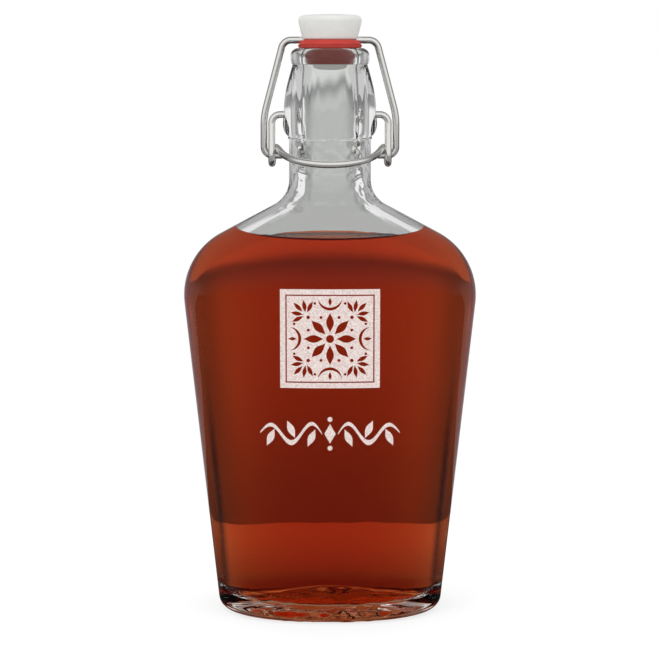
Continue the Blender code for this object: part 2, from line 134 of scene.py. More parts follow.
def apply_modifier(obj: bpy.types.Object, kind: str, **settings: Any) -> None:
    """Adds a modifier with its settings and applies it at once.

    Args:
        obj: The mesh object to change.
        kind: Blender's word for the modifier.
        **settings: The modifier's own properties.
    """
    select_only(obj)
    bpy.ops.object.modifier_add(type=kind)
    modifier = obj.modifiers[-1]
    for name, value in settings.items():
        setattr(modifier, name, value)
    bpy.ops.object.modifier_apply(modifier=modifier.name)


def combine(obj: bpy.types.Object, operation: str) -> None:
    """Applies the active helper shape to a piece as a Boolean and removes the helper.

    Args:
        obj: The piece that stays.
        operation: UNION or DIFFERENCE.
    """
    helper = bpy.context.object
    apply_place(helper)
    apply_modifier(obj, "BOOLEAN", operation=operation, solver="EXACT", object=helper)
    bpy.data.objects.remove(helper)


def drill(obj: bpy.types.Object, radius: float, length: float, middle: Pair, sides: int) -> None:
    """Cuts a round hole along X into a piece.

    Args:
        obj: The piece.
        radius: The hole's radius.
        length: The hole's length.
        middle: The x and z of its middle.
        sides: The number of its sides.
    """
    deselect_all()
    place = (middle[0], 0, middle[1])
    bpy.ops.mesh.primitive_cylinder_add(
        vertices=sides, radius=radius, depth=length, location=place, rotation=(0, QUARTER_TURN, 0)
    )
    combine(obj, "DIFFERENCE")


def smooth_by_angle(obj: bpy.types.Object, degrees: float) -> None:
    """Shades a piece smooth except where it turns by more than an angle."""
    select_only(obj)
    bpy.ops.object.shade_smooth_by_angle(angle=math.radians(degrees))


def clean(obj: bpy.types.Object) -> None:
    """Merges doubled points and turns every face outwards.

    Args:
        obj: The piece.
    """
    select_only(obj)
    bpy.ops.object.mode_set(mode="EDIT")
    bpy.ops.mesh.select_all(action="SELECT")
    bpy.ops.mesh.remove_doubles(threshold=MERGE_DISTANCE)
    bpy.ops.mesh.normals_make_consistent(inside=False)
    bpy.ops.object.mode_set(mode="OBJECT")


# Lines and rings


def shares(steps: int, first: int = 0) -> list[float]:
    """Returns the even shares up to 1, from the first step on."""
    return [step / steps for step in range(first, steps + 1)]


def between(low: float, high: float, steps: int) -> list[float]:
    """Returns the even steps from one value to another, without the two ends."""
    return [low + (high - low) * step / steps for step in range(1, steps)]


def rounded_line(corners: Sequence[Vector], radii: Sequence[float], steps: int) -> list[Vector]:
    """Draws a line through corners and rounds the inner ones.

    Args:
        corners: The line's ends and the corners between them, in two or three dimensions.
        radii: The radius at each inner corner. It is shortened where its neighbours leave too little room.
        steps: The number of pieces in each rounding.

    Returns:
        The points of the line.
    """
    room_share = 0.48
    points = [corners[0]]
    for before, corner, after, radius in zip(corners, corners[1:], corners[2:], radii):
        back = before - corner
        ahead = after - corner
        half_angle = back.angle(ahead) / 2
        run = min(radius / math.tan(half_angle), room_share * back.length, room_share * ahead.length)
        fitted = run * math.tan(half_angle)
        towards_centre = (back.normalized() + ahead.normalized()).normalized()
        centre = corner + towards_centre * (fitted / math.sin(half_angle))
        first = corner + back.normalized() * run - centre
        last = corner + ahead.normalized() * run - centre
        points += [centre + first.slerp(last, share) * fitted for share in shares(steps)]
    return points + [corners[-1]]


def arc(centre: Pair, radii: Pair, start: float, end: float, steps: int) -> list[Vector]:
    """Draws an arc of an ellipse in two dimensions.

    Args:
        centre: Its centre.
        radii: Its half width and half height.
        start: The angle where it starts, in degrees.
        end: The angle where it ends, in degrees.
        steps: The number of straight pieces.

    Returns:
        The points, both ends included.
    """
    points = []
    for share in shares(steps):
        angle = math.radians(start + (end - start) * share)
        across, up = radii[0] * math.cos(angle), radii[1] * math.sin(angle)
        points.append(Vector((centre[0] + across, centre[1] + up)))
    return points


def corner_inside(before: Vector, corner: Vector, after: Vector, wall: float, next_wall: float) -> Vector:
    """Finds the corner of two lines that lie inside the given ones by a wall each.

    Args:
        before: The start of the first line.
        corner: Where the two lines meet.
        after: The end of the second line.
        wall: The distance inside the first line.
        next_wall: The distance inside the second line.

    Returns:
        The corner of the inner lines.
    """
    along = (corner - before).normalized()
    onward = (after - corner).normalized()
    start = before + Vector((-along.y, along.x)) * wall
    start_on = corner + Vector((-onward.y, onward.x)) * next_wall
    crossing = along.x * onward.y - along.y * onward.x
    apart = start_on - start
    travel = (apart.x * onward.y - apart.y * onward.x) / crossing
    return start + along * travel


def size_at(line: Sequence[Vector], height: float) -> float:
    """Reads a half width or half depth from a line that rises all the way.

    Args:
        line: The line, as half sizes and heights.
        height: Where it is read.

    Returns:
        The half size there, or that of the nearer end beyond the line.
    """
    for low, high in zip(line, line[1:]):
        if low.y <= height <= high.y and high.y > low.y:
            return low.x + (high.x - low.x) * (height - low.y) / (high.y - low.y)
    return line[-1].x if height > line[-1].y else line[0].x


def start_curve(name: str, lines: Iterable[Sequence[Iterable[float]]], **settings: bool) -> bpy.types.Object:
    """Adds a curve of straight pieces.

    Args:
        name: Its name.
        lines: The points of each line in it.
        **settings: Properties of its splines.

    Returns:
        The curve.
    """
    deselect_all()
    bpy.ops.curve.primitive_bezier_curve_add()
    curve = bpy.context.object
    curve.name = name
    curve.data.splines.clear()
    for line in lines:
        spline = curve.data.splines.new("POLY")
        spline.points.add(len(line) - 1)
        for place, point in zip(spline.points, line):
            place.co = (*point, 1)
        for setting, value in settings.items():
            setattr(spline, setting, value)
    return curve


@dataclass(frozen=True)
class Section:
    """One level oval, squarer at its corners the higher its squareness. A squareness of 2 is an ellipse."""

    half_width: float
    half_depth: float
    height: float
    squareness: float = 2.0

    def points(self, sides: int) -> list[Vector]:
        """Returns the oval's points, anticlockwise from +X.

        Args:
            sides: The number of points.

        Returns:
            The points.
        """
        power = 2 / self.squareness
        made = []
        for side in range(sides):
            angle = FULL_TURN * side / sides
            x = math.copysign(abs(math.cos(angle)) ** power, math.cos(angle)) * self.half_width
            y = math.copysign(abs(math.sin(angle)) ** power, math.sin(angle)) * self.half_depth
            made.append(Vector((x, y, self.height)))
        return made


def round_sections(outline: Iterable[Vector]) -> list[Section]:
    """Turns an outline of radius and height into round sections."""
    return [Section(point.x, point.x, point.y) for point in outline]


def section_at(lines: Lines, height: float, squareness: float, inset: float = 0.0) -> Section:
    """Returns the oval that a front and a side outline give at a height, made smaller by an inset."""
    width, depth = lines
    return Section(size_at(width, height) - inset, size_at(depth, height) - inset, height, squareness)


def heel_sections(lines: Lines, foot: float, radius: float, squareness: float, steps: int) -> list[Section]:
    """Rounds the turn from a level floor into a flank.

    Args:
        lines: The flank's front and side outlines.
        foot: The floor's height.
        radius: The rounding's radius.
        squareness: The squareness of its ovals.
        steps: The number of pieces in the rounding.

    Returns:
        The sections, from the floor up.
    """
    sections = []
    for share in shares(steps):
        angle = QUARTER_TURN * share
        height = foot + radius * (1 - math.cos(angle))
        sections.append(section_at(lines, height, squareness, radius * (1 - math.sin(angle))))
    return sections


@dataclass(frozen=True)
class Ripple:
    """The unevenness of a surface that no mould touched, as waves of one size."""

    size: float
    depth: float
    seed: float

    def offset(self, point: Vector) -> Vector:
        """Returns how far a point of the surface is moved."""
        return noise.noise_vector(point / self.size + Vector((self.seed, 0, 0))) * self.depth


class RingStack:
    """A skin drawn out of one circle by extruding its rim from ring to ring."""

    def __init__(self, name: str, sides: int, pole: Vector | None = None) -> None:
        """Adds the starting circle.

        Args:
            name: The piece's name.
            sides: The number of points in each ring.
            pole: The point that closes the first ring, or None to leave it open.
        """
        deselect_all()
        fill = "NOTHING" if pole is None else "TRIFAN"
        bpy.ops.mesh.primitive_circle_add(vertices=sides, radius=MM, fill_type=fill)
        self.obj = bpy.context.object
        self.obj.name = name
        self.obj.data.name = name
        self.sides = sides
        self.rings = 0
        bpy.ops.object.mode_set(mode="EDIT")
        bpy.ops.mesh.select_mode(type="EDGE")
        mesh = bmesh.from_edit_mesh(self.obj.data)
        layer = mesh.verts.layers.int.new(SIDE_LAYER)
        for vert in mesh.verts:
            if vert.co.length < MM / 2:
                vert.co = pole
                continue
            vert[layer] = round(math.atan2(vert.co.y, vert.co.x) / FULL_TURN * sides) % sides
        self.select_rim(mesh)

    def select_rim(self, mesh: bmesh.types.BMesh) -> None:
        """Selects the open edges alone.

        Args:
            mesh: The mesh in edit mode.
        """
        for edge in mesh.edges:
            edge.select = len(edge.link_faces) < 2
        mesh.select_flush_mode()
        bmesh.update_edit_mesh(self.obj.data)

    def add(self, section: Section, zone: Zone = Zone.MAIN) -> None:
        """Extrudes the rim, lays it along a section and marks the new faces with their zone.

        Args:
            section: Where the new rim lies.
            zone: The zone of the faces that lead to it.
        """
        if self.rings:
            bpy.ops.mesh.extrude_edges_move()
        points = section.points(self.sides)
        mesh = bmesh.from_edit_mesh(self.obj.data)
        layer = mesh.verts.layers.int[SIDE_LAYER]
        for vert in mesh.verts:
            if vert.select:
                vert.co = points[vert[layer]]
        if self.rings:
            for edge in mesh.edges:
                if edge.select:
                    edge.link_faces[0].material_index = zone.value
        self.rings += 1
        bmesh.update_edit_mesh(self.obj.data)

    def add_all(self, sections: Iterable[Section], zone: Zone = Zone.MAIN) -> None:
        """Extrudes through several sections in turn."""
        for section in sections:
            self.add(section, zone)

    def finish(self, pole: Vector | None, smooth_degrees: float, zone: Zone = Zone.MAIN) -> bpy.types.Object:
        """Closes the skin and shades it.

        Args:
            pole: The point that closes the last ring, or None to join the last ring to the first.
            smooth_degrees: Edges that turn by more than this stay sharp.
            zone: The zone of the faces round the pole.

        Returns:
            The finished piece.
        """
        if pole is None:
            self.select_rim(bmesh.from_edit_mesh(self.obj.data))
            bpy.ops.mesh.bridge_edge_loops()
        else:
            bpy.ops.mesh.extrude_edges_move()
            bpy.ops.mesh.merge(type="CENTER")
            mesh = bmesh.from_edit_mesh(self.obj.data)
            for vert in mesh.verts:
                if vert.select:
                    vert.co = pole
                    for face in vert.link_faces:
                        face.material_index = zone.value
            bmesh.update_edit_mesh(self.obj.data)
        bpy.ops.object.mode_set(mode="OBJECT")
        self.obj.data.attributes.remove(self.obj.data.attributes[SIDE_LAYER])
        clean(self.obj)
        smooth_by_angle(self.obj, smooth_degrees)
        return self.obj


# Shader nodes


class Graph:
    """A node tree with short calls that add nodes and set or link what they read."""

    def __init__(self, tree: bpy.types.NodeTree) -> None:
        """Wraps a node tree."""
        self.tree = tree

    def feed(self, target: bpy.types.NodeSocket, value: Any) -> None:
        """Links another node's output to an input, or sets the input's own value.

        Args:
            target: The input.
            value: The output, or the value. A colour needs no alpha.
        """
        if isinstance(value, bpy.types.NodeSocket):
            self.tree.links.new(value, target)
        else:
            target.default_value = (*value, 1) if target.type == "RGBA" else value

    def fill(self, node: bpy.types.Node, *inputs: Any, **values: Any) -> bpy.types.Node:
        """Sets up a node.

        Args:
            node: The node.
            *inputs: What its inputs get, in their order.
            **values: Properties of the node, or what its inputs get, with _ for each space in their names.

        Returns:
            The node.
        """
        for name, value in values.items():
            if hasattr(node, name):
                setattr(node, name, value)
            else:
                self.feed(node.inputs[name.replace("_", " ")], value)
        for target, value in zip(node.inputs, inputs):
            self.feed(target, value)
        return node

    def add(self, kind: str, *inputs: Any, **values: Any) -> Any:
        """Adds a shader node, set up as fill does, and returns its outputs."""
        return self.fill(self.tree.nodes.new("ShaderNode" + kind), *inputs, **values).outputs

    def first(self, kind: str, *inputs: Any, **values: Any) -> bpy.types.NodeSocket:
        """Adds a shader node in the same way and returns its first output."""
        return self.add(kind, *inputs, **values)[0]

    def math(self, operation: str, *inputs: float | bpy.types.NodeSocket) -> bpy.types.NodeSocket:
        """Adds a calculation and returns its output."""
        return self.first("Math", *inputs, operation=operation)

    def ramp(self, source: bpy.types.NodeSocket, span: Any, levels: Any = (0.0, 1.0)) -> bpy.types.NodeSocket:
        """Adds a smooth change from one level to another over a span and returns its output."""
        return self.first("MapRange", source, *span, *levels, interpolation_type="SMOOTHSTEP")

    def switch(self, flag: bpy.types.NodeSocket, otherwise: Any, value: Any) -> bpy.types.NodeSocket:
        """Adds a switch, which gives the value where the flag is 1, and returns its output."""
        return self.first("MapRange", flag, 0.0, 1.0, otherwise, value)

    def blend(self, mask: bpy.types.NodeSocket, first: Any, second: Any) -> bpy.types.NodeSocket:
        """Adds a blend of two colours.

        Args:
            mask: Takes the blend from the first colour at 0 to the second at 1.
            first: The first colour, or the output that gives it.
            second: The second one.

        Returns:
            The blend's output.
        """
        node = self.fill(self.tree.nodes.new("ShaderNodeMix"), data_type="RGBA", Factor=mask)
        start, end = [target for target in node.inputs if target.type == "RGBA"]
        self.feed(start, first)
        self.feed(end, second)
        return [output for output in node.outputs if output.type == "RGBA"][0]

    def effect(self, effect: Effect, **values: float) -> Any:
        """Places one of the shared node groups with its own values and returns its outputs."""
        return self.add("Group", node_tree=bpy.data.node_groups[effect.value], **values)


def start_group(effect: Effect, **inputs: float) -> tuple[Graph, Any, bpy.types.NodeSocket]:
    """Starts a shader node group.

    Args:
        effect: Which of the shared effects it is.
        **inputs: The name and starting value of each number that it takes.

    Returns:
        The group's graph, the outputs that give those numbers, and the one that gives Object coordinates.
    """
    tree = bpy.data.node_groups.new(effect.value, "ShaderNodeTree")
    for name, value in inputs.items():
        socket = tree.interface.new_socket(name=name, in_out="INPUT", socket_type="NodeSocketFloat")
        socket.default_value = value
    graph = Graph(tree)
    return graph, tree.nodes.new("NodeGroupInput").outputs, graph.add("TexCoord")["Object"]


def finish_group(graph: Graph, **outputs: bpy.types.NodeSocket) -> None:
    """Gives a node group its outputs.

    Args:
        graph: The group's graph.
        **outputs: The name of each output and what it puts out.
    """
    for name, source in outputs.items():
        kind = "NodeSocketVector" if source.type == "VECTOR" else "NodeSocketFloat"
        graph.tree.interface.new_socket(name=name, in_out="OUTPUT", socket_type=kind)
    graph.fill(graph.tree.nodes.new("NodeGroupOutput"), **outputs)


def build_waves_group() -> None:
    """Builds the slow unevenness of blown glass and of a liquid's skin, as a normal."""
    graph, given, place = start_group(Effect.WAVES, Scale=60, Depth=0.05 * MM)
    waves = graph.first("TexNoise", Vector=place, Scale=given["Scale"], Detail=1.0, Roughness=0.4)
    finish_group(graph, Normal=graph.first("Bump", Strength=1.0, Distance=given["Depth"], Height=waves))


def build_grain_group() -> None:
    """Builds a fine grain, as a mask from 0 to 1 and as a normal."""
    graph, given, place = start_group(Effect.GRAIN, Scale=3000, Depth=0.02 * MM)
    grain = graph.first("TexNoise", Vector=place, Scale=given["Scale"], Detail=3.0, Roughness=0.6)
    mask = graph.first("MapRange", grain, From_Min=0.35, From_Max=0.65)
    normal = graph.first("Bump", Strength=1.0, Distance=given["Depth"], Height=mask)
    finish_group(graph, Mask=mask, Normal=normal)


def build_marks_group() -> None:
    """Builds the uneven gloss that handling leaves: a roughness that wanders about its middle value."""
    graph, given, place = start_group(Effect.MARKS, Scale=120, Middle=0.3, Spread=0.1)
    marks = graph.first(
        "TexNoise", Vector=place, Scale=given["Scale"], Detail=4.0, Roughness=0.65, Distortion=0.6
    )
    centred = graph.math("SUBTRACT", marks, 0.5)
    finish_group(graph, Roughness=graph.math("MULTIPLY_ADD", centred, given["Spread"], given["Middle"]))


def build_foot_group() -> None:
    """Builds a mask of the thick foot's middle, where the finishes lay painted light, and the stipple on the
    ring that the flask stands on.
    """
    graph, given, place = start_group(
        Effect.FOOT, Low=3 * MM, High=7 * MM, Near=20 * MM, Far=31 * MM, Scale=700, Depth=0.3 * MM
    )
    parts = graph.add("SeparateXYZ", place)
    fall = graph.ramp(parts["Z"], (given["Low"], given["High"]), (1.0, 0.0))
    fade = graph.ramp(graph.math("ABSOLUTE", parts["X"]), (given["Near"], given["Far"]), (1.0, 0.0))
    cells = graph.first("TexVoronoi", Vector=place, Scale=given["Scale"], Randomness=0.35)
    ring = graph.first("MapRange", parts["Z"], 0.2 * MM, 0.5 * MM, 1.0, 0.0)
    height = graph.math("MULTIPLY", graph.math("MULTIPLY", cells, ring), given["Depth"])
    finish_group(graph, Mask=graph.math("MULTIPLY", fall, fade), Height=height)


def build_flank_group() -> None:
    """Builds a mask of the leaning strips at both sides of a flask's cavity, where the wall turns away and
    the wetted glass lays painted shade.
    """
    graph, given, place = start_group(
        Effect.FLANK, Lean=-0.105, Near=28.2 * MM, Width=1.5 * MM, Low=45 * MM, High=95 * MM
    )
    parts = graph.add("SeparateXYZ", place)
    upright = graph.math("MULTIPLY_ADD", parts["Z"], given["Lean"], graph.math("ABSOLUTE", parts["X"]))
    apart = graph.math("ABSOLUTE", graph.math("SUBTRACT", upright, given["Near"]))
    strip = graph.ramp(apart, (0.0, given["Width"]), (1.0, 0.0))
    fade = graph.ramp(parts["Z"], (given["Low"], given["High"]), (1.0, 0.0))
    finish_group(graph, Mask=graph.math("MULTIPLY", strip, fade))


# Finishes


def start_material(name: str) -> tuple[bpy.types.Material, Graph, bpy.types.Node]:
    """Makes a material.

    Args:
        name: Its name.

    Returns:
        The material, its graph and its Principled shader.
    """
    made = bpy.data.materials.new(name)
    made.use_nodes = True
    return made, Graph(made.node_tree), made.node_tree.nodes["Principled BSDF"]


@dataclass(frozen=True)
class ClearFinish:
    """A clear body, glass or liquid, that takes some of the light on its way through, with painted light in
    its foot and painted shade along its flanks where a finish asks for them.
    """

    name: str
    tint: Colour
    roughness: float
    ior: float
    wave_scale: float
    wave_depth: float
    absorption_colour: Colour = WHITE
    absorption_density: float = 0.0
    # Painted light in the foot: a colour blended over the foot's middle, between the heights below.
    foot_painted_cast: Colour | None = None
    foot_heights: Pair = (3 * MM, 7 * MM)
    # Painted shade: a dark colour blended over the cavity's turned-away flanks.
    flank_painted_shade: Colour | None = None

    def material(self) -> bpy.types.Material:
        """Makes the finish.

        Returns:
            The finish as a material.
        """
        made, graph, shader = start_material(self.name)
        graph.fill(shader, Base_Color=self.tint, Roughness=self.roughness, IOR=self.ior)
        graph.fill(shader, Transmission_Weight=1.0)
        tint = self.tint
        normal = graph.effect(Effect.WAVES, Scale=self.wave_scale, Depth=self.wave_depth)["Normal"]
        # The foot's painted light is blended into the tint here.
        if self.foot_painted_cast is not None:
            low, high = self.foot_heights
            foot = graph.effect(Effect.FOOT, Low=low, High=high)
            tint = graph.blend(foot["Mask"], tint, self.foot_painted_cast)
            normal = graph.first("Bump", Strength=1.0, Distance=1.0, Height=foot["Height"], Normal=normal)
        # The flanks' painted shade is blended into the tint here.
        if self.flank_painted_shade is not None:
            tint = graph.blend(graph.effect(Effect.FLANK)["Mask"], tint, self.flank_painted_shade)
        graph.fill(shader, Base_Color=tint, Normal=normal)
        if self.absorption_density > 0:
            volume = graph.first(
                "VolumeAbsorption", Color=self.absorption_colour, Density=self.absorption_density
            )
            graph.fill(made.node_tree.nodes["Material Output"], Volume=volume)
        return made


@dataclass(frozen=True)
class MouldedFinish:
    """Moulded plastic or rubber, with a faint mottle in its colour and an uneven gloss."""

    name: str
    colour: Colour
    shade_colour: Colour
    roughness: float
    roughness_spread: float
    grain_scale: float
    grain_depth: float
    grains_to_mark: float = 8.0
    subsurface: float = 0.0
    subsurface_radius: Colour = (1.0, 0.9, 0.8)
    subsurface_scale: float = 1.5 * MM

    def material(self) -> bpy.types.Material:
        """Makes the finish.

        Returns:
            The finish as a material.
        """
        made, graph, shader = start_material(self.name)
        grain = graph.effect(Effect.GRAIN, Scale=self.grain_scale, Depth=self.grain_depth)
        scale = self.grain_scale / self.grains_to_mark
        marks = graph.effect(Effect.MARKS, Scale=scale, Middle=self.roughness, Spread=self.roughness_spread)
        graph.fill(
            shader,
            Base_Color=graph.blend(grain["Mask"], self.shade_colour, self.colour),
            Roughness=marks["Roughness"],
            Normal=grain["Normal"],
            Subsurface_Weight=self.subsurface,
            Subsurface_Radius=self.subsurface_radius,
            Subsurface_Scale=self.subsurface_scale,
        )
        return made


@dataclass(frozen=True)
class DrawnSteelFinish:
    """Bright drawn wire, with fine marks along its length."""

    name: str
    colour: Colour
    dull_colour: Colour
    roughness: float
    roughness_spread: float
    marks_round: float
    marks_along: float
    marks_depth: float = 0.01 * MM
    marks_strength: float = 0.4
    gloss_scale: float = 300.0

    def material(self) -> bpy.types.Material:
        """Makes the finish. It reads the wire's own UV map, whose u runs along it.

        Returns:
            The finish as a material.
        """
        made, graph, shader = start_material(self.name)
        stretch = (self.marks_along, self.marks_round, 1)
        place = graph.first("Mapping", Vector=graph.add("TexCoord")["UV"], Scale=stretch)
        lines = graph.first("TexNoise", Vector=place, Scale=1.0, Detail=3.0, Roughness=0.6)
        marks = graph.effect(
            Effect.MARKS, Scale=self.gloss_scale, Middle=self.roughness, Spread=self.roughness_spread
        )
        graph.fill(
            shader,
            Metallic=1.0,
            Base_Color=graph.blend(lines, self.dull_colour, self.colour),
            Roughness=marks["Roughness"],
            Normal=graph.first("Bump", Strength=self.marks_strength, Distance=self.marks_depth, Height=lines),
        )
        return made


GLASS = ClearFinish(
    name="clear_glass",
    tint=(0.955, 0.965, 0.955),
    roughness=0.0,
    ior=1.5,
    wave_scale=90.0,
    wave_depth=0.06 * MM,
    # Painted light: the liquid's amber glow, painted into the thick foot under it.
    foot_painted_cast=(0.60, 0.15, 0.05),
)
WETTED_GLASS = replace(
    GLASS,
    name="wetted_glass",
    ior=1.5 / 1.36,
    # Painted light: a cast on the cavity's floor that takes some red out of what is seen through the base.
    foot_painted_cast=(0.76, 1.0, 0.96),
    foot_heights=(7.5 * MM, 9 * MM),
    # Painted shade: dark strips where the cavity's flanks turn away.
    flank_painted_shade=(0.08, 0.04, 0.025),
)
LIQUID_SURFACE = ClearFinish(
    name="amber_liquid_surface",
    tint=(0.82, 0.28, 0.085),
    roughness=0.0,
    ior=1.36,
    absorption_colour=(0.80, 0.20, 0.03),
    absorption_density=68.0,
    wave_scale=40.0,
    wave_depth=0.01 * MM,
)
LIQUID = replace(LIQUID_SURFACE, name="amber_liquid", ior=1.0)
PLASTIC = MouldedFinish(
    name="white_plastic",
    colour=(0.83, 0.83, 0.80),
    shade_colour=(0.80, 0.80, 0.77),
    roughness=0.38,
    roughness_spread=0.12,
    grain_scale=500.0,
    grain_depth=0.0005 * MM,
    subsurface=0.15,
)
RUBBER = MouldedFinish(
    name="red_rubber",
    colour=(0.66, 0.055, 0.04),
    shade_colour=(0.52, 0.035, 0.025),
    roughness=0.5,
    roughness_spread=0.15,
    grain_scale=2500.0,
    grain_depth=0.02 * MM,
)
# Painted shade: a darker rubber for the sleeve, which lies in shade inside the mouth.
SLEEVE_PAINTED_SHADE = replace(
    RUBBER, name="sleeve_painted_shade", colour=(0.36, 0.03, 0.012), shade_colour=(0.26, 0.02, 0.008)
)
FROST = MouldedFinish(
    name="etched_frost",
    colour=(1.0, 0.90, 0.86),
    shade_colour=(0.74, 0.56, 0.52),
    roughness=0.75,
    roughness_spread=0.15,
    grain_scale=2200.0,
    grain_depth=0.03 * MM,
)
STEEL = DrawnSteelFinish(
    name="bright_steel",
    colour=(0.84, 0.83, 0.81),
    dull_colour=(0.68, 0.67, 0.65),
    roughness=0.2,
    roughness_spread=0.12,
    marks_round=14.0,
    marks_along=6.0,
)


def mount(
    obj: bpy.types.Object, body: str, node: str | None, slot: Slot | None, *materials: bpy.types.Material
) -> bpy.types.Object:
    """Puts a finished piece on its body, dresses it and reports it.

    Args:
        obj: The piece.
        body: The CAD body that it rides on.
        node: The CAD node that it stands for, if any.
        slot: The record's slot for it, if any. It is not used.
        *materials: Its materials, one for each of its zones.

    Returns:
        The piece.
    """
    dress(obj, *materials)
    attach(obj, body)
    if node is not None:
        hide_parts(node)
    LOG.info("%s: %d faces on body %s", obj.name, len(obj.data.polygons), body)
    return obj


def dress(obj: bpy.types.Object, *materials: bpy.types.Material) -> None:
    """Gives a piece its materials.

    Args:
        obj: The piece.
        *materials: Its materials, one for each of its zones.
    """
    zones = [polygon.material_index for polygon in obj.data.polygons]
    obj.data.materials.clear()
    for material in materials:
        obj.data.materials.append(material)
    obj.data.polygons.foreach_set("material_index", zones)
    obj.data.update()


# The flask


@dataclass(frozen=True)
class FlaskShape:
    """The flask's outlines, outside and inside. Walls are measured square to the surface."""

    base_half_width: float = 34.6 * MM
    base_half_depth: float = 24.0 * MM
    shoulder_half_width: float = 46.5 * MM
    shoulder_half_depth: float = 24.44 * MM
    shoulder_height: float = 110.5 * MM
    shoulder_rise: float = 18.2 * MM
    shoulder_radius: float = 21.6 * MM
    shoulder_depth_radius: float = 30 * MM
    neck_fillet: float = 8.8 * MM
    neck_depth_fillet: float = 15.5 * MM
    heel_radius: float = 3.2 * MM
    squareness: float = 2.3
    foot_side_wall: float = 5.6 * MM
    shoulder_side_wall: float = 3.6 * MM
    front_wall: float = 3.5 * MM
    slope_wall: float = 3.6 * MM
    floor_thickness: float = 4.2 * MM
    floor_rise: float = 3.2 * MM
    inner_heel_radius: float = 5.0 * MM
    inner_squareness: float = 2.15
    bore_radius: float = 8.0 * MM
    neck_radius: float = 12.5 * MM
    neck_length: float = 17.6 * MM
    rounding_steps: int = 18
    heel_steps: int = 10
    inner_heel_steps: int = 12
    flank_steps: int = 26
    floor_steps: int = 16
    bore_steps: int = 56
    fill_height: float = 115.3 * MM
    climb: float = 1.4 * MM
    floor_ripple: Ripple = Ripple(4.0 * MM, 0.5 * MM, 0.0)
    wall_ripple: Ripple = Ripple(14 * MM, 0.10 * MM, 5.0)
    bore_ripple: Ripple = Ripple(2.0 * MM, 0.22 * MM, 9.0)
    bore_ripple_front_share: float = 0.15
    floor_ripple_top: float = 14 * MM

    @property
    def neck_corner(self) -> float:
        """The height where the slope of the shoulder would meet the straight neck."""
        return self.shoulder_height + self.shoulder_rise

    @property
    def neck_top(self) -> float:
        """The height where the neck meets the step under the barrel."""
        return self.neck_corner + self.neck_length

    @property
    def contact_height(self) -> float:
        """The height where the liquid's edge meets the glass."""
        return self.fill_height + self.climb

    def outer_line(self, base: float, shoulder: float) -> list[Vector]:
        """Returns the corners of the outside from one side, given its half sizes at base and shoulder."""
        heights = (0, self.shoulder_height, self.neck_corner, self.neck_top)
        return [Vector(pair) for pair in zip((base, shoulder, self.neck_radius, self.neck_radius), heights)]

    def inner_line(
        self, line: list[Vector], foot_wall: float, flank_wall: float, grow: float
    ) -> list[Vector]:
        """Returns the corners of the cavity inside one of the outer lines.

        Args:
            line: The outer line.
            foot_wall: The wall at the foot.
            flank_wall: The wall at the shoulder.
            grow: How far the line is moved out into the glass.

        Returns:
            The corners from the floor to the top of the bore.
        """
        base, shoulder, neck, top = line
        bore = self.bore_radius + grow
        slope = self.slope_wall - grow
        inner_shoulder = corner_inside(base, shoulder, neck, flank_wall - grow, slope)
        inner_neck = corner_inside(shoulder, neck, top, slope, neck.x - bore)
        foot = Vector((base.x - foot_wall + grow, self.floor_thickness - grow))
        return [foot, inner_shoulder, inner_neck, Vector((bore, top.y))]

    def lines(self, grow: float | None = None) -> Lines:
        """Returns the rounded outlines from the front and from the side.

        Args:
            grow: How far the cavity's outlines are moved out into the glass, or None for the outside.

        Returns:
            The two outlines, as half sizes and heights.
        """
        width = self.outer_line(self.base_half_width, self.shoulder_half_width)
        depth = self.outer_line(self.base_half_depth, self.shoulder_half_depth)
        wall = 0.0
        if grow is not None:
            wall = self.slope_wall
            width = self.inner_line(width, self.foot_side_wall, self.shoulder_side_wall, grow)
            depth = self.inner_line(depth, self.front_wall, self.front_wall, grow)
        steps = self.rounding_steps
        return (
            rounded_line(width, (self.shoulder_radius - wall, self.neck_fillet + wall), steps),
            rounded_line(depth, (self.shoulder_depth_radius - wall, self.neck_depth_fillet + wall), steps),
        )

    def flank_sections(self, lines: Lines, heights: Iterable[float], squareness: float) -> list[Section]:
        """Returns sections whose squareness eases to a circle at the neck corner.

        Args:
            lines: The front and side outlines.
            heights: The heights of the sections.
            squareness: That of the body.

        Returns:
            The sections.
        """
        sections = []
        for height in heights:
            share = (height - self.shoulder_height) / (self.neck_corner - self.shoulder_height)
            eased = squareness + (2.0 - squareness) * min(max(share, 0.0), 1.0)
            sections.append(section_at(lines, height, eased))
        return sections

    def outer_sections(self) -> list[Section]:
        """Draws the outside from the edge of the base to the foot of the barrel.

        Returns:
            The sections.
        """
        lines = self.lines()
        heights = between(self.heel_radius, lines[0][1].y, self.flank_steps)
        heights = sorted(heights + [point.y for point in lines[0][1:-1]])
        heel = heel_sections(lines, 0, self.heel_radius, self.squareness, self.heel_steps)
        return heel + self.flank_sections(lines, heights, self.squareness)

    def cavity_sections(self, grow: float, foot: float, top: float) -> list[Section]:
        """Returns the inside between two heights.

        Args:
            grow: How far the skin is moved out into the glass.
            foot: The height where it starts. At zero it starts in the middle of the floor.
            top: The height where it ends.

        Returns:
            The sections, without the pole in the middle of the floor.
        """
        lines = self.lines(grow)
        floor = self.floor_thickness - grow
        heel = self.inner_heel_radius + grow
        sections = []
        levels = [foot]
        if foot == 0:
            edge = section_at(lines, floor, self.inner_squareness, heel)
            for share in shares(self.floor_steps, 1)[:-1]:
                height = floor + self.floor_rise * (1 - share**2) ** 2
                level = Section(edge.half_width * share, edge.half_depth * share, height, edge.squareness)
                sections.append(level)
            sections += heel_sections(lines, floor, heel, self.inner_squareness, self.inner_heel_steps)
            levels = []
        heights = between(floor + heel, lines[0][1].y, self.flank_steps)
        heights += [point.y for point in lines[0][1:-1]]
        heights += between(heights[-1], self.neck_top, self.bore_steps)
        levels += [height for height in heights if foot < height < top] + [top]
        return sections + self.flank_sections(lines, levels, self.inner_squareness)

    def floor_pole(self, grow: float) -> Vector:
        """Returns the middle of the cavity's floor."""
        return Vector((0, 0, self.floor_thickness - grow + self.floor_rise))

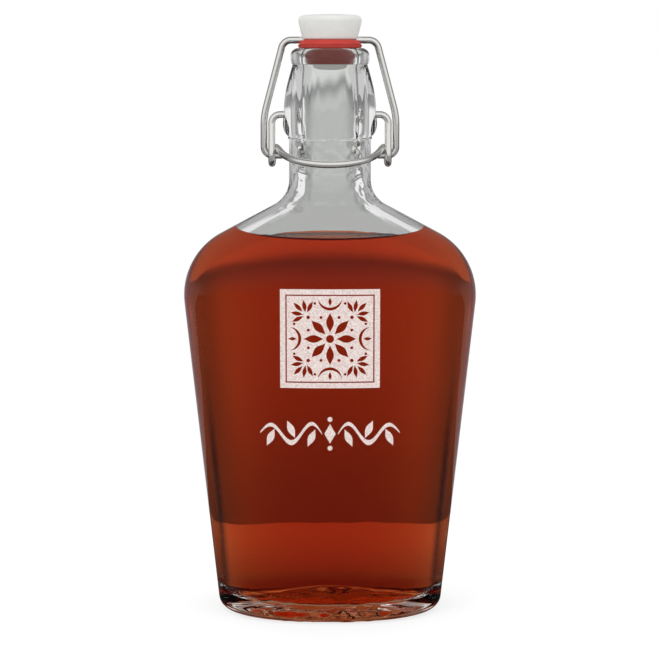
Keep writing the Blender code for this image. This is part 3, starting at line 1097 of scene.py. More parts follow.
    def roughen(self, point: Vector) -> Vector:
        """Moves a point of the inside, which no mould touched, by the ripples of its region.

        Args:
            point: The point.

        Returns:
            Where it lies then.
        """
        low = min(max(point.z / self.floor_ripple_top, 0.0), 1.0)
        high = min(max((point.z - self.shoulder_height) / self.shoulder_rise, 0.0), 1.0)
        moved = self.floor_ripple.offset(point) * (1 - low)
        moved += self.wall_ripple.offset(point) * low * (1 - high)
        crackle = self.bore_ripple.offset(point) * high
        moved += Vector((crackle.x, crackle.y * self.bore_ripple_front_share, 0))
        return point + moved


@dataclass(frozen=True)
class GlassShell:
    """The blown glass flask with its finish, wire sockets and stippled foot."""

    shape: FlaskShape
    sides: int = 256
    sharp_degrees: float = 40.0
    bearing_width: float = 4.0 * MM
    punt_depth: float = 2.6 * MM
    punt_shares: tuple[float, ...] = (0.2, 0.4, 0.55, 0.7, 0.8, 0.88, 0.94, 0.98, 1.0)
    step_height: float = 0.7 * MM
    step_shares: tuple[float, ...] = (0.2, 0.5, 0.8)
    step_edge: float = 0.1 * MM
    ridge_height: float = 0.4 * MM
    foot_wall: float = 4.75 * MM
    barrel_wall: float = 6.05 * MM
    barrel_lower_height: float = 8.0 * MM
    barrel_lower_steps: int = 12
    barrel_upper_height: float = 13.6 * MM
    barrel_upper_steps: int = 16
    groove_wall: float = 3.45 * MM
    groove_height: float = 0.4 * MM
    lip_wall: float = 4.0 * MM
    lip_height: float = 4.8 * MM
    lip_edge_share: float = 0.58
    mouth_edge_share: float = 0.3
    lip_foot_share: float = 0.5
    pivot_below_widest: float = 1.3 * MM
    socket_depth: float = 1.9 * MM
    socket_radius: float = 1.25 * MM
    socket_sides: int = 40
    boss_stand_out: float = 0.35 * MM
    boss_half_sizes: tuple[float, float, float] = (2.8 * MM, 5.5 * MM, 4.4 * MM)
    boss_below_pivot: float = 2.6 * MM
    skin: float = 1.5 * MM
    bearing_skin: float = 0.1 * MM
    lowest_inside: float = 0.05 * MM

    @property
    def barrel_foot(self) -> float:
        """The height of the barrel's lower end."""
        return self.shape.neck_top + self.step_height

    @property
    def barrel_widest(self) -> float:
        """The height where the barrel is widest."""
        return self.barrel_foot + self.barrel_lower_height

    @property
    def lip_foot(self) -> float:
        """The height of the lip's lower edge."""
        return self.barrel_widest + self.barrel_upper_height + self.groove_height

    @property
    def lip_top(self) -> float:
        """The height of the mouth."""
        return self.lip_foot + self.lip_height

    @property
    def pivot_height(self) -> float:
        """The height of the lever's sockets."""
        return self.barrel_widest - self.pivot_below_widest

    @property
    def barrel_radius(self) -> float:
        """The barrel's radius where it is widest."""
        return self.shape.bore_radius + self.barrel_wall

    def base_sections(self) -> list[Section]:
        """Draws the underside from the middle of its hollow out to the bearing ring.

        Returns:
            The sections.
        """
        ring = self.shape.heel_radius + self.bearing_width
        width = self.shape.base_half_width - ring
        depth = self.shape.base_half_depth - ring
        sections = []
        for share in self.punt_shares:
            height = self.punt_depth * math.sqrt(1 - share**2)
            sections.append(Section(width * share, depth * share, height, self.shape.squareness))
        return sections

    def finish_outline(self) -> list[Vector]:
        """Draws the step, barrel, groove, lip and mouth.

        Returns:
            Their radii and heights.
        """
        bore = self.shape.bore_radius
        foot = bore + self.foot_wall
        groove = bore + self.groove_wall
        lip = bore + self.lip_wall
        neck = self.shape.neck_radius
        radii = (neck + self.ridge_height, neck + self.ridge_height, foot - self.step_edge)
        outline = [Vector((neck, self.shape.neck_top))]
        for radius, share in zip(radii, self.step_shares):
            outline.append(Vector((radius, self.shape.neck_top + share * self.step_height)))
        outline.append(Vector((foot, self.barrel_foot)))
        for share in shares(self.barrel_lower_steps, 1):
            radius = foot + (self.barrel_radius - foot) * math.sin(QUARTER_TURN * share)
            outline.append(Vector((radius, self.barrel_foot + self.barrel_lower_height * share)))
        for share in shares(self.barrel_upper_steps, 1):
            radius = groove + (self.barrel_radius - groove) * math.cos(QUARTER_TURN * share)
            outline.append(Vector((radius, self.barrel_widest + self.barrel_upper_height * share)))
        outline.append(Vector((groove, self.lip_foot)))
        rise = self.lip_height * self.lip_foot_share
        edge = self.lip_wall * self.lip_edge_share
        mouth = self.lip_wall * self.mouth_edge_share
        outline += arc((groove, self.lip_foot + rise), (lip - groove, rise), -75, 0, 7)
        outline += arc((lip - edge, self.lip_top - edge), (edge, edge), 0, 90, 12)
        return outline + arc((bore + mouth, self.lip_top - mouth), (mouth, mouth), 90, 180, 8)

    def roughen_inside(self, body: bpy.types.Object) -> None:
        """Moves the points of the cavity and of the hollow underneath by the shape's ripples.

        Args:
            body: The glass.
        """
        lines = self.shape.lines()
        second = Zone.SECOND.value
        faces = [face for face in body.data.polygons if face.material_index == second]
        wetted = {index for face in faces for index in face.vertices}
        for vert in body.data.vertices:
            reach = section_at(lines, vert.co.z, 2.0, self.skin)
            inside = (vert.co.x / reach.half_width) ** 2 + (vert.co.y / reach.half_depth) ** 2 < 1
            inside = inside and self.bearing_skin <= vert.co.z < self.shape.neck_top
            if inside or (vert.index in wetted and vert.co.z < self.shape.fill_height):
                vert.co = self.shape.roughen(vert.co)
                vert.co.z = max(vert.co.z, self.lowest_inside)

    def add_bosses(self, body: bpy.types.Object) -> None:
        """Adds a boss of thicker glass on each side and cuts the wire's socket into it.

        Args:
            body: The glass.
        """
        thick = self.boss_half_sizes[0]
        for side in Side:
            x = side.value * (self.barrel_radius + self.boss_stand_out - thick)
            place = (x, 0, self.pivot_height - self.boss_below_pivot)
            deselect_all()
            bpy.ops.mesh.primitive_uv_sphere_add(segments=48, ring_count=24, radius=1, location=place)
            bpy.ops.transform.resize(value=self.boss_half_sizes)
            combine(body, "UNION")
        inner = self.barrel_radius - self.socket_depth
        outer = self.barrel_radius + 2 * self.boss_stand_out
        for side in Side:
            middle = (side.value * (inner + outer) / 2, self.pivot_height)
            drill(body, self.socket_radius, outer - inner, middle, self.socket_sides)

    def build(self) -> bpy.types.Object:
        """Builds the glass.

        Returns:
            The glass, on its body.
        """
        shape = self.shape
        stack = RingStack("glass_shell", self.sides, Vector((0, 0, self.punt_depth)))
        stack.add_all(self.base_sections())
        stack.add_all(shape.outer_sections())
        stack.add_all(round_sections(self.finish_outline()))
        stack.add_all(reversed(shape.cavity_sections(0, shape.contact_height, shape.neck_top)))
        stack.add_all(reversed(shape.cavity_sections(0, 0, shape.contact_height)), Zone.SECOND)
        body = stack.finish(shape.floor_pole(0), self.sharp_degrees, Zone.SECOND)
        self.roughen_inside(body)
        self.add_bosses(body)
        clean(body)
        smooth_by_angle(body, self.sharp_degrees)
        # Both glasses carry painted light in the foot, and the wetted glass carries painted shade on its
        # flanks.
        finishes = (GLASS.material(), WETTED_GLASS.material())
        return mount(body, "flask", "flask_body", Slot.GLASS, *finishes)


@dataclass(frozen=True)
class Contents:
    """The liquid, which wets the glass and climbs a little at its edge."""

    shape: FlaskShape
    sides: int = 256
    sharp_degrees: float = 50.0
    film_gap: float = 0.02 * MM
    climb_reach: float = 1.2 * MM
    climb_insets: tuple[float, ...] = tuple(size * MM for size in (0.1, 0.25, 0.5, 0.9, 1.5, 2.4, 4.0, 6.0))

    def build(self) -> bpy.types.Object:
        """Builds the liquid.

        Returns:
            The liquid, on its body.
        """
        shape = self.shape
        sections = shape.cavity_sections(-self.film_gap, 0, shape.contact_height)
        edge = sections[-1]
        stack = RingStack("liquid_contents", self.sides, shape.floor_pole(-self.film_gap))
        stack.add_all(sections)
        for inset in self.climb_insets:
            height = shape.fill_height + shape.climb * math.exp(-inset / self.climb_reach)
            ring = Section(edge.half_width - inset, edge.half_depth - inset, height, edge.squareness)
            stack.add(ring, Zone.SECOND)
        liquid = stack.finish(Vector((0, 0, shape.fill_height)), self.sharp_degrees, Zone.SECOND)
        for vert in liquid.data.vertices:
            if vert.co.z < shape.fill_height:
                vert.co = shape.roughen(vert.co)
        finishes = (LIQUID.material(), LIQUID_SURFACE.material())
        return mount(liquid, "flask", "liquid_fill", Slot.LIQUID, *finishes)


# The closure


@dataclass(frozen=True)
class ClosureSizes:
    """Sizes that the stopper, the seal and the wires share, worked out from the flask's mouth."""

    shell: GlassShell
    wire_diameter: float = 2.1 * MM
    clearance: float = 0.3 * MM
    lever_side_gap: float = 2.7 * MM
    lever_reach: float = 12.45 * MM
    over_centre: float = 0.6 * MM
    washer_thickness: float = 2.0 * MM
    washer_pressed_thickness: float = 0.75 * MM

    @property
    def wire_radius(self) -> float:
        """The wires' radius."""
        return self.wire_diameter / 2

    @property
    def lever_half_width(self) -> float:
        """The distance of the lever's legs from the middle."""
        return self.shell.barrel_radius + self.lever_side_gap + self.wire_radius

    @property
    def bail_half_width(self) -> float:
        """The distance of the bail's legs from the middle."""
        return self.lever_half_width + self.wire_diameter + self.clearance

    @property
    def eye_height(self) -> float:
        """The height of the lever's eyes."""
        return self.shell.pivot_height - self.lever_reach

    @property
    def bar_height(self) -> float:
        """The height of the bail's bar."""
        seat = self.shell.lip_top + self.clearance
        return seat + self.washer_pressed_thickness + self.clearance + self.wire_radius

    @property
    def head_foot(self) -> float:
        """The height of the underside of the stopper's head."""
        return self.shell.lip_top + 2 * self.clearance + self.washer_thickness


@dataclass(frozen=True)
class Stopper:
    """The moulded stopper: a flared head that the bail's bar goes through, a stem and a plug."""

    sizes: ClosureSizes
    sides: int = 96
    sharp_degrees: float = 35.0
    head_foot_radius: float = 8.4 * MM
    head_radius: float = 9.65 * MM
    head_height: float = 7.6 * MM
    head_edge: float = 1.5 * MM
    head_foot_edge: float = 0.5 * MM
    head_flare: float = 1.15
    head_steps: int = 6
    head_dome: float = 0.4 * MM
    dome_shares: tuple[float, ...] = (0.2, 0.35, 0.5, 0.65, 0.76)
    stem_radius: float = 4.6 * MM
    plug_radius: float = 5.2 * MM
    plug_height: float = 3.0 * MM
    plug_edge: float = 0.9 * MM
    plug_below_mouth: float = 4.5 * MM
    gate_radius: float = 1.1 * MM
    gate_depth: float = 0.15 * MM
    gate_shares: tuple[Pair, ...] = ((0.5, 1.0), (0.85, 1.0), (1.0, 0.2))
    hole_play: float = 0.12 * MM
    hole_sides: int = 48

    def outline(self) -> list[Vector]:
        """Draws the stopper from the gate mark on top down to the plug's end.

        Returns:
            Its radii and heights.
        """
        foot = self.sizes.head_foot
        top = foot + self.head_height
        shoulder = top - self.head_dome
        edge = self.head_edge
        waist = shoulder - edge
        outline = []
        for across, down in self.gate_shares:
            outline.append(Vector((self.gate_radius * across, top - self.gate_depth * down)))
        for share in self.dome_shares:
            outline.append(Vector((self.head_radius * share, top - self.head_dome * share**2)))
        outline += arc((self.head_radius - edge, waist), (edge, edge), 88, 0, 14)
        foot_edge = self.head_foot_edge
        for share in shares(self.head_steps, 1):
            radius = self.head_radius + (self.head_foot_radius - self.head_radius) * share**self.head_flare
            outline.append(Vector((radius, waist + (foot + foot_edge - waist) * share)))
        centre = (self.head_foot_radius - foot_edge, foot + foot_edge)
        outline += arc(centre, (foot_edge, foot_edge), -20, -90, 5)
        plug_top = self.sizes.shell.lip_top - self.plug_below_mouth
        outline.append(Vector((self.stem_radius, foot)))
        outline.append(Vector((self.stem_radius, plug_top)))
        outline.append(Vector((self.plug_radius, plug_top)))
        edge = self.plug_edge
        centre = (self.plug_radius - edge, plug_top - self.plug_height + edge)
        return outline + arc(centre, (edge, edge), 0, -90, 8)

    def build(self) -> bpy.types.Object:
        """Builds the stopper.

        Returns:
            The stopper, on its body.
        """
        outline = self.outline()
        top = self.sizes.head_foot + self.head_height - self.gate_depth
        stack = RingStack("stopper_body", self.sides, Vector((0, 0, top)))
        stack.add_all(round_sections(outline))
        stopper = stack.finish(Vector((0, 0, outline[-1].y)), self.sharp_degrees)
        radius = self.sizes.wire_radius + self.hole_play
        drill(stopper, radius, 2.4 * self.head_radius, (0, self.sizes.bar_height), self.hole_sides)
        clean(stopper)
        smooth_by_angle(stopper, self.sharp_degrees)
        return mount(stopper, "closure", "stopper", Slot.PLASTIC, PLASTIC.material())


@dataclass(frozen=True)
class Seal:
    """The rubber seal: a flange on the lip and a tapered sleeve in the mouth, whose rubber is painted darker
    as shade.
    """

    sizes: ClosureSizes
    sides: int = 96
    sharp_degrees: float = 28.0
    flange_radius: float = 9.8 * MM
    flange_top_radius: float = 9.15 * MM
    flange_edge: float = 0.5 * MM
    flange_rounding: float = 0.1 * MM
    flange_taper: float = 0.15 * MM
    rim_half_height: float = 0.16 * MM
    rim_share: float = 0.46
    rim_flat_share: float = 0.6
    sleeve_radius: float = 7.85 * MM
    sleeve_taper: float = 1.1 * MM
    sleeve_depth: float = 4.2 * MM
    sleeve_steps: int = 8
    sleeve_bore: float = 4.9 * MM
    throat_depth: float = 1.2 * MM
    seat_gap: float = 0.03 * MM
    dent_reach: float = 2.6 * MM

    @property
    def seat(self) -> float:
        """The height of the flange's underside."""
        return self.sizes.shell.lip_top + self.seat_gap

    @property
    def top(self) -> float:
        """The height of the flange's upper side before it is pressed."""
        return self.sizes.head_foot - self.seat_gap

    def outline(self) -> list[Vector]:
        """Draws the seal's section, round from the inner edge of its top.

        Returns:
            Its radii and heights.
        """
        rim = self.rim_half_height
        edge = self.flange_radius
        middle = self.seat + (self.top - self.seat) * self.rim_share
        throat = self.sizes.shell.lip_top - self.throat_depth
        foot = self.sizes.shell.lip_top - self.sleeve_depth
        corners = [
            (self.sleeve_bore, self.top),
            (self.flange_top_radius - self.flange_edge, self.top),
            (self.flange_top_radius, self.top - self.flange_rounding),
            (edge - self.flange_rounding, middle + rim),
            (edge, middle + self.rim_flat_share * rim),
            (edge, middle),
            (edge - self.flange_taper, middle - rim),
            (edge - 2 * self.flange_taper, self.seat + self.flange_taper),
            (edge - self.flange_edge, self.seat),
            (self.sleeve_radius + self.flange_edge, self.seat),
            (self.sleeve_radius, throat),
        ]
        for share in shares(self.sleeve_steps, 1):
            radius = self.sleeve_radius - self.sleeve_taper * share**2
            corners.append((radius, throat + (foot - throat) * share))
        return [Vector(corner) for corner in corners + [(self.sleeve_bore, foot)]]

    def build(self) -> bpy.types.Object:
        """Builds the seal, pressed down at its sides by the bail's bar.

        Returns:
            The seal, on its body.
        """
        stack = RingStack("seal_ring", self.sides)
        sections = round_sections(self.outline())
        flange = [section for section in sections if section.height > self.sizes.shell.lip_top]
        stack.add_all(flange)
        # The sleeve gets the darker rubber: painted shade.
        stack.add_all(sections[len(flange):], Zone.SECOND)
        seal = stack.finish(None, self.sharp_degrees)
        press = self.sizes.washer_thickness - self.sizes.washer_pressed_thickness
        for vert in seal.data.vertices:
            if vert.co.z > self.seat:
                under_bar = math.exp(-((vert.co.y / self.dent_reach) ** 2))
                vert.co.z -= press * under_bar * (vert.co.z - self.seat) / (self.top - self.seat)
        finishes = (RUBBER.material(), SLEEVE_PAINTED_SHADE.material())
        return mount(seal, "closure", "seal_washer", Slot.RUBBER, *finishes)


@dataclass(frozen=True)
class WireClosure:
    """The two bent wires: the bail with its bar and hooks, and the lever with its bow, eyes and legs."""

    sizes: ClosureSizes
    sharp_degrees: float = 40.0
    bevel_steps: int = 10
    bend_steps: int = 16
    bow_steps: int = 22
    eye_steps: int = 30
    link_steps: int = 10
    lever_bend_radius: float = 3.6 * MM
    eye_play: float = 0.37 * MM
    eye_shift: float = 1.2 * MM
    eye_turn: float = 1.5 * math.pi
    bow_neck_gap: float = 0.45 * MM
    bow_drop: float = 2.05 * MM
    bow_inset: float = 2.25 * MM
    bow_join: float = 4.0 * MM
    hook_radius: float = 2.6 * MM
    hook_inside: float = 3.2 * MM
    bail_shoulder_half_width: float = 14.1 * MM
    bail_corner_radius: float = 3.0 * MM
    bail_knee_height: float = 12.0 * MM
    bail_knee_radius: float = 22 * MM
    end_bevel: float = 0.25 * MM

    @property
    def eye_radius(self) -> float:
        """The radius of the eyes' centre line."""
        return self.sizes.wire_diameter + self.eye_play

    @property
    def bow_front(self) -> float:
        """The distance of the bow's middle from the flask's axis."""
        return self.sizes.shell.shape.neck_radius + self.bow_neck_gap + self.sizes.wire_radius

    def bail_half(self) -> list[Vector]:
        """Draws the right half of the bail's centre line.

        Returns:
            The points from the bar to the hook's end.
        """
        sizes = self.sizes
        rise = math.hypot(sizes.bar_height - sizes.eye_height, sizes.over_centre)
        corners = [
            Vector((0, 0, rise)),
            Vector((self.bail_shoulder_half_width, 0, rise)),
            Vector((sizes.bail_half_width, 0, self.bail_knee_height)),
            Vector((sizes.bail_half_width, 0, 0)),
            Vector((sizes.lever_half_width - self.hook_inside, 0, 0)),
        ]
        radii = (self.bail_corner_radius, self.bail_knee_radius, self.hook_radius)
        lean = math.asin(sizes.over_centre / rise)
        hooks = Vector((0, sizes.over_centre, sizes.eye_height))
        points = []
        for point in rounded_line(corners, radii, self.bend_steps):
            points.append(hooks + Vector((point.x, -point.z * math.sin(lean), point.z * math.cos(lean))))
        return points

    def bow_point(self, angle: float) -> Vector:
        """Places a point of the bow, which leans down from the eyes' tops to its front.

        Args:
            angle: How far round the bow, in radians from the right eye.

        Returns:
            The point.
        """
        y = -self.bow_front * math.sin(angle)
        lean = (self.eye_radius + self.bow_drop) / self.bow_front
        x = (self.sizes.lever_half_width - self.bow_inset) * math.cos(angle)
        return Vector((x, y, self.eye_radius + lean * y))

    def link(self, start: Vector, start_pull: Vector, end: Vector, end_pull: Vector) -> list[Vector]:
        """Joins two points by a smooth curve that leaves both along their pulls.

        Args:
            start: The first point.
            start_pull: The curve's direction there, the longer the stronger.
            end: The second point.
            end_pull: The curve's direction there.

        Returns:
            The curve's inner points.
        """
        points = []
        for t in shares(self.link_steps, 1)[:-1]:
            points.append(
                start * (2 * t**3 - 3 * t**2 + 1)
                + start_pull * (t**3 - 2 * t**2 + t)
                + end * (3 * t**2 - 2 * t**3)
                + end_pull * (t**3 - t**2)
            )
        return points

    def lever_half(self) -> list[Vector]:
        """Draws the right half of the lever's centre line.

        Returns:
            The points from the bow's middle to the socket.
        """
        sizes = self.sizes
        eye = Vector((0, sizes.over_centre, -sizes.lever_reach))
        join_angle = math.asin(self.bow_join / self.bow_front)
        bow = []
        for share in shares(self.bow_steps):
            angle = QUARTER_TURN + (join_angle - QUARTER_TURN) * share
            bow.append(self.bow_point(angle) + Vector((0, 0, eye.z)))
        turn = []
        for share in reversed(shares(self.eye_steps)):
            angle = math.pi + self.eye_turn * share
            x = sizes.lever_half_width - self.eye_shift * share**3
            y, z = self.eye_radius * math.cos(angle), self.eye_radius * math.sin(angle)
            turn.append(eye + Vector((x, y, z)))
        into_eye = (bow[-1] - bow[-2]).normalized() * self.bow_join
        over_eye = (turn[1] - turn[0]).normalized() * self.bow_join
        link = self.link(bow[-1], into_eye, turn[0], over_eye)
        socket_end = Vector((sizes.shell.barrel_radius - sizes.shell.socket_depth + sizes.clearance, 0, 0))
        top_corner = Vector((sizes.lever_half_width, 0, 0))
        leg_foot = Vector((sizes.lever_half_width, 0, -sizes.lever_reach))
        bend = rounded_line([leg_foot, top_corner, socket_end], [self.lever_bend_radius], self.bend_steps)
        down = Vector((0, 0, bend[1].z - turn[-1].z))
        leg = self.link(turn[-1], down, bend[1], down)
        pivot = Vector((0, 0, sizes.shell.pivot_height))
        return [pivot + point for point in bow + link + turn + leg + bend[1:]]

    def rod(self, name: str, half: list[Vector]) -> bpy.types.Object:
        """Makes a round rod through the points of its right half and their mirror images.

        Args:
            name: The piece's name.
            half: The centre line's right half, from the middle outwards.

        Returns:
            The rod, with a UV map whose u runs along it.
        """
        left = [Vector((-point.x, point.y, point.z)) for point in reversed(half[1:])]
        curve = start_curve(name, [left + half], use_smooth=True)
        curve.data.bevel_depth = self.sizes.wire_radius
        curve.data.bevel_resolution = self.bevel_steps
        curve.data.use_fill_caps = True
        bpy.ops.object.convert(target="MESH")
        rod = bpy.context.object
        clean(rod)
        bpy.ops.object.mode_set(mode="EDIT")
        bpy.ops.mesh.select_all(action="DESELECT")
        bpy.ops.mesh.select_mode(type="FACE")
        bpy.ops.mesh.select_face_by_sides(number=4, type="GREATER")
        bpy.ops.mesh.bevel(offset=self.end_bevel, segments=3, affect="EDGES")
        bpy.ops.object.mode_set(mode="OBJECT")
        smooth_by_angle(rod, self.sharp_degrees)
        return rod

    def build(self) -> list[bpy.types.Object]:
        """Builds both wires.

        Returns:
            The bail and the lever, on their bodies.
        """
        steel = STEEL.material()
        bail = self.rod("bail_rod", self.bail_half())
        lever = self.rod("lever_rod", self.lever_half())
        mount(bail, "bail", "bail_wire", Slot.STEEL, steel)
        mount(lever, "lever", "lever_wire", Slot.STEEL, steel)
        return [bail, lever]


# The etched ornament


def polar(radius: float, degrees: float, centre: Pair = (0.0, 0.0)) -> Pair:
    """Returns the point at a distance and in a direction from a centre."""
    angle = math.radians(degrees)
    return centre[0] + radius * math.cos(angle), centre[1] + radius * math.sin(angle)


def leaf(centre: Pair, size: Pair, degrees: float) -> Loop:
    """Draws a pointed leaf from two arcs.

    Args:
        centre: Its middle.
        size: Its length from tip to tip and its width.
        degrees: The direction of its length, from the x axis.

    Returns:
        The points of its edge.
    """
    steps = 10
    length, width = size
    points = []
    for sign in (1, -1):
        for step in range(steps):
            share = step / steps * 2 - 1
            along = polar(share * length / 2 * sign, degrees, centre)
            across = sign * width / 2 * math.cos(share * QUARTER_TURN) ** 1.3
            points.append(polar(across, degrees + 90, along))
    return points


def disc(centre: Pair, radius: float) -> Loop:
    """Draws a round dot."""
    steps = 20
    return [polar(radius, 360 * step / steps, centre) for step in range(steps)]


def square(half: float) -> Loop:
    """Draws a square about the origin."""
    return [(-half, -half), (half, -half), (half, half), (-half, half)]


def crescent(centre: Pair, radius: float, thickness: float, start: float, end: float) -> Loop:
    """Draws a stroke along an arc, thickest in its middle and pointed at both ends.

    Args:
        centre: The arc's centre.
        radius: The arc's radius.
        thickness: The stroke's thickness in its middle.
        start: The angle where it starts, in degrees.
        end: The angle where it ends, in degrees.

    Returns:
        The points of its edge.
    """
    outer, inner = [], []
    for share in shares(14):
        degrees = start + (end - start) * share
        half = thickness / 2 * math.sin(math.pi * share)
        outer.append(polar(radius + half, degrees, centre))
        if 0 < share < 1:
            inner.append(polar(radius - half, degrees, centre))
    return outer + inner[::-1]


@dataclass(frozen=True)
class PanelSizes:
    """The square's sizes. A reach is a distance from its middle, and a leaf has a length and a width."""

    half: float = 14.9 * MM
    line_halves: Pair = (13.3 * MM, 12.9 * MM)
    hub_radius: float = 1.2 * MM
    petals: int = 8
    petal_reach: float = 4.9 * MM
    petal: Pair = (6.0 * MM, 2.3 * MM)
    petal_dot_reach: float = 7.0 * MM
    petal_dot_radius: float = 0.45 * MM
    spray_turns: tuple[float, ...] = (-72.0, -36.0, 0.0, 36.0, 72.0)
    spray_reach: float = 10.2 * MM
    spray_middle_offset: float = 3.3 * MM
    spray_side_offset: float = 2.7 * MM
    spray_leaf: Pair = (3.9 * MM, 1.25 * MM)
    spray_dot_reach: float = 9.2 * MM
    spray_dot_radius: float = 0.55 * MM
    crescent_reach: float = 12.6 * MM
    crescent_radius: float = 3.6 * MM
    crescent_thickness: float = 0.9 * MM
    crescent_turns: Pair = (100.0, 260.0)
    edge_leaf_reach: float = 11.2 * MM
    edge_leaf: Pair = (2.6 * MM, 1.0 * MM)
    edge_dot_reach: float = 11.6 * MM
    edge_dot_turn: float = math.degrees(0.4)
    edge_dot_radius: float = 0.4 * MM

    def loops(self) -> list[Loop]:
        """Draws the square and what is left clear in it.

        Returns:
            The edges.
        """
        loops = [square(half) for half in (self.half, *self.line_halves)]
        loops.append(disc((0, 0), self.hub_radius))
        for petal in range(self.petals):
            turn = 360 * petal / self.petals
            between_petals = turn + 180 / self.petals
            loops.append(leaf(polar(self.petal_reach, turn), self.petal, turn))
            loops.append(disc(polar(self.petal_dot_reach, between_petals), self.petal_dot_radius))
        for quarter in (0, 90, 180, 270):
            loops += self.corner_loops(45 + quarter) + self.edge_loops(quarter)
        return loops

    def corner_loops(self, turn: float) -> list[Loop]:
        """Draws one corner's spray of leaves and its dot.

        Args:
            turn: The direction of the corner, in degrees.

        Returns:
            The edges.
        """
        loops = [disc(polar(self.spray_dot_reach, turn), self.spray_dot_radius)]
        base = polar(self.spray_reach, turn)
        for offset in self.spray_turns:
            reach = self.spray_middle_offset if offset == 0 else self.spray_side_offset
            loops.append(leaf(polar(reach, turn + offset, base), self.spray_leaf, turn + offset))
        return loops

    def edge_loops(self, turn: float) -> list[Loop]:
        """Draws one side's crescent, leaf and two dots.

        Args:
            turn: The direction of the side, in degrees.

        Returns:
            The edges.
        """
        start, end = self.crescent_turns
        centre = polar(self.crescent_reach, turn)
        loops = [
            crescent(centre, self.crescent_radius, self.crescent_thickness, turn + start, turn + end),
            leaf(polar(self.edge_leaf_reach, turn), self.edge_leaf, turn),
        ]
        for aside in (self.edge_dot_turn, -self.edge_dot_turn):
            loops.append(disc(polar(self.edge_dot_reach, turn + aside), self.edge_dot_radius))
        return loops


@dataclass(frozen=True)
class ScrollSizes:
    """The scroll's sizes: a lozenge between two dots, with a waving stem and leaves on each side."""

    half_width: float = 21.0 * MM
    lozenge: Pair = (1.7 * MM, 3.0 * MM)
    dot_reach: float = 4.4 * MM
    dot_radius: float = 0.75 * MM
    stem_start: float = 2.4 * MM
    stem_steps: int = 48
    stem_waves: float = 1.5
    stem_height: float = 3.2 * MM
    stem_fall: float = 0.25
    stem_half_thickness: Pair = (0.22 * MM, 0.55 * MM)
    stem_swell: float = 0.7
    leaves: tuple[tuple[float, int], ...] = ((0.17, -1), (0.5, 1), (0.83, -1))
    leaf_reach: float = 1.3 * MM
    leaf: Pair = (5.8 * MM, 2.1 * MM)
    leaf_lean: float = 24.0

    def loops(self) -> list[Loop]:
        """Draws the scroll.

        Returns:
            The edges.
        """
        wide, high = self.lozenge
        loops: list[Loop] = [
            [(-wide, 0), (0, -high), (wide, 0), (0, high)],
            disc((0, self.dot_reach), self.dot_radius),
            disc((0, -self.dot_reach), self.dot_radius),
        ]
        run = self.half_width - self.stem_start
        thin, swell = self.stem_half_thickness
        for side in Side:
            upper, lower = [], []
            for share in shares(self.stem_steps):
                x = side.value * (self.stem_start + run * share)
                height = self.stem_height * (1 - self.stem_fall * share)
                y = height * math.sin(share * self.stem_waves * FULL_TURN)
                half = thin + swell * math.sin(math.pi * share) ** self.stem_swell
                upper.append((x, y + half))
                lower.append((x, y - half))
            loops.append(upper + lower[::-1])
            for share, sign in self.leaves:
                centre = (side.value * (self.stem_start + run * share), sign * self.leaf_reach)
                loops.append(leaf(centre, self.leaf, 90 - side.value * sign * self.leaf_lean))
        return loops


@dataclass(frozen=True)
class EtchedOrnament:
    """A frosted square with a clear rosette, and a frosted scroll below it, laid on the broad front."""

    glass: bpy.types.Object
    panel: PanelSizes = PanelSizes()
    panel_height: float = 88.0 * MM
    scroll: ScrollSizes = ScrollSizes()
    scroll_height: float = 59.2 * MM
    thickness: float = 0.07 * MM
    stand_off: float = 60 * MM
    strip: float = 1.0 * MM
    level: float = 3.0 * MM
    sharp_degrees: float = 30.0

    def slice(self, plate: bpy.types.Object, axis: int, width: float) -> None:
        """Cuts a plate into even strips, so that it can bend.

        Args:
            plate: The plate.
            axis: The number of the axis that the strips follow one another along.
            width: About how wide a strip is.
        """
        places = [vert.co[axis] for vert in plate.data.vertices]
        low, high = min(places), max(places)
        normal = [float(number == axis) for number in range(3)]
        select_only(plate)
        bpy.ops.object.mode_set(mode="EDIT")
        for place in between(low, high, int((high - low) / width)):
            bpy.ops.mesh.select_all(action="SELECT")
            bpy.ops.mesh.bisect(plane_co=[place * share for share in normal], plane_no=normal)
        bpy.ops.object.mode_set(mode="OBJECT")

    def plate(self, name: str, loops: list[Loop], height: float) -> bpy.types.Object:
        """Fills loops as one flat plate, lays it on the glass and gives it its thickness.

        Args:
            name: The piece's name.
            loops: The edges. A loop inside another leaves a hole.
            height: The height of the plate's middle.

        Returns:
            The plate.
        """
        curve = start_curve(name, [[(*point, 0) for point in loop] for loop in loops], use_cyclic_u=True)
        curve.data.dimensions = "2D"
        curve.data.fill_mode = "BOTH"
        curve.rotation_euler = (QUARTER_TURN, 0, 0)
        curve.location = (0, -self.stand_off, height)
        bpy.ops.object.convert(target="MESH")
        plate = bpy.context.object
        apply_place(plate)
        self.slice(plate, 0, self.strip)
        self.slice(plate, 2, self.level)
        apply_modifier(
            plate,
            "SHRINKWRAP",
            target=self.glass,
            wrap_method="PROJECT",
            use_project_y=True,
            use_positive_direction=True,
            use_negative_direction=False,
        )
        clean(plate)
        apply_modifier(plate, "SOLIDIFY", thickness=self.thickness, offset=0)
        smooth_by_angle(plate, self.sharp_degrees)
        return plate

    def build(self) -> list[bpy.types.Object]:
        """Builds the square and the scroll.

        Returns:
            Both plates, on the flask's body.
        """
        frost = FROST.material()
        pieces = [
            self.plate("etched_square", self.panel.loops(), self.panel_height),
            self.plate("etched_scroll", self.scroll.loops(), self.scroll_height),
        ]
        return [mount(piece, "flask", None, None, frost) for piece in pieces]


# The studio


@dataclass(frozen=True)
class Softbox:
    """A soft lamp that faces the flask. Only matt surfaces show its light."""

    name: str
    place: tuple[float, float, float]
    size: Pair
    power: float


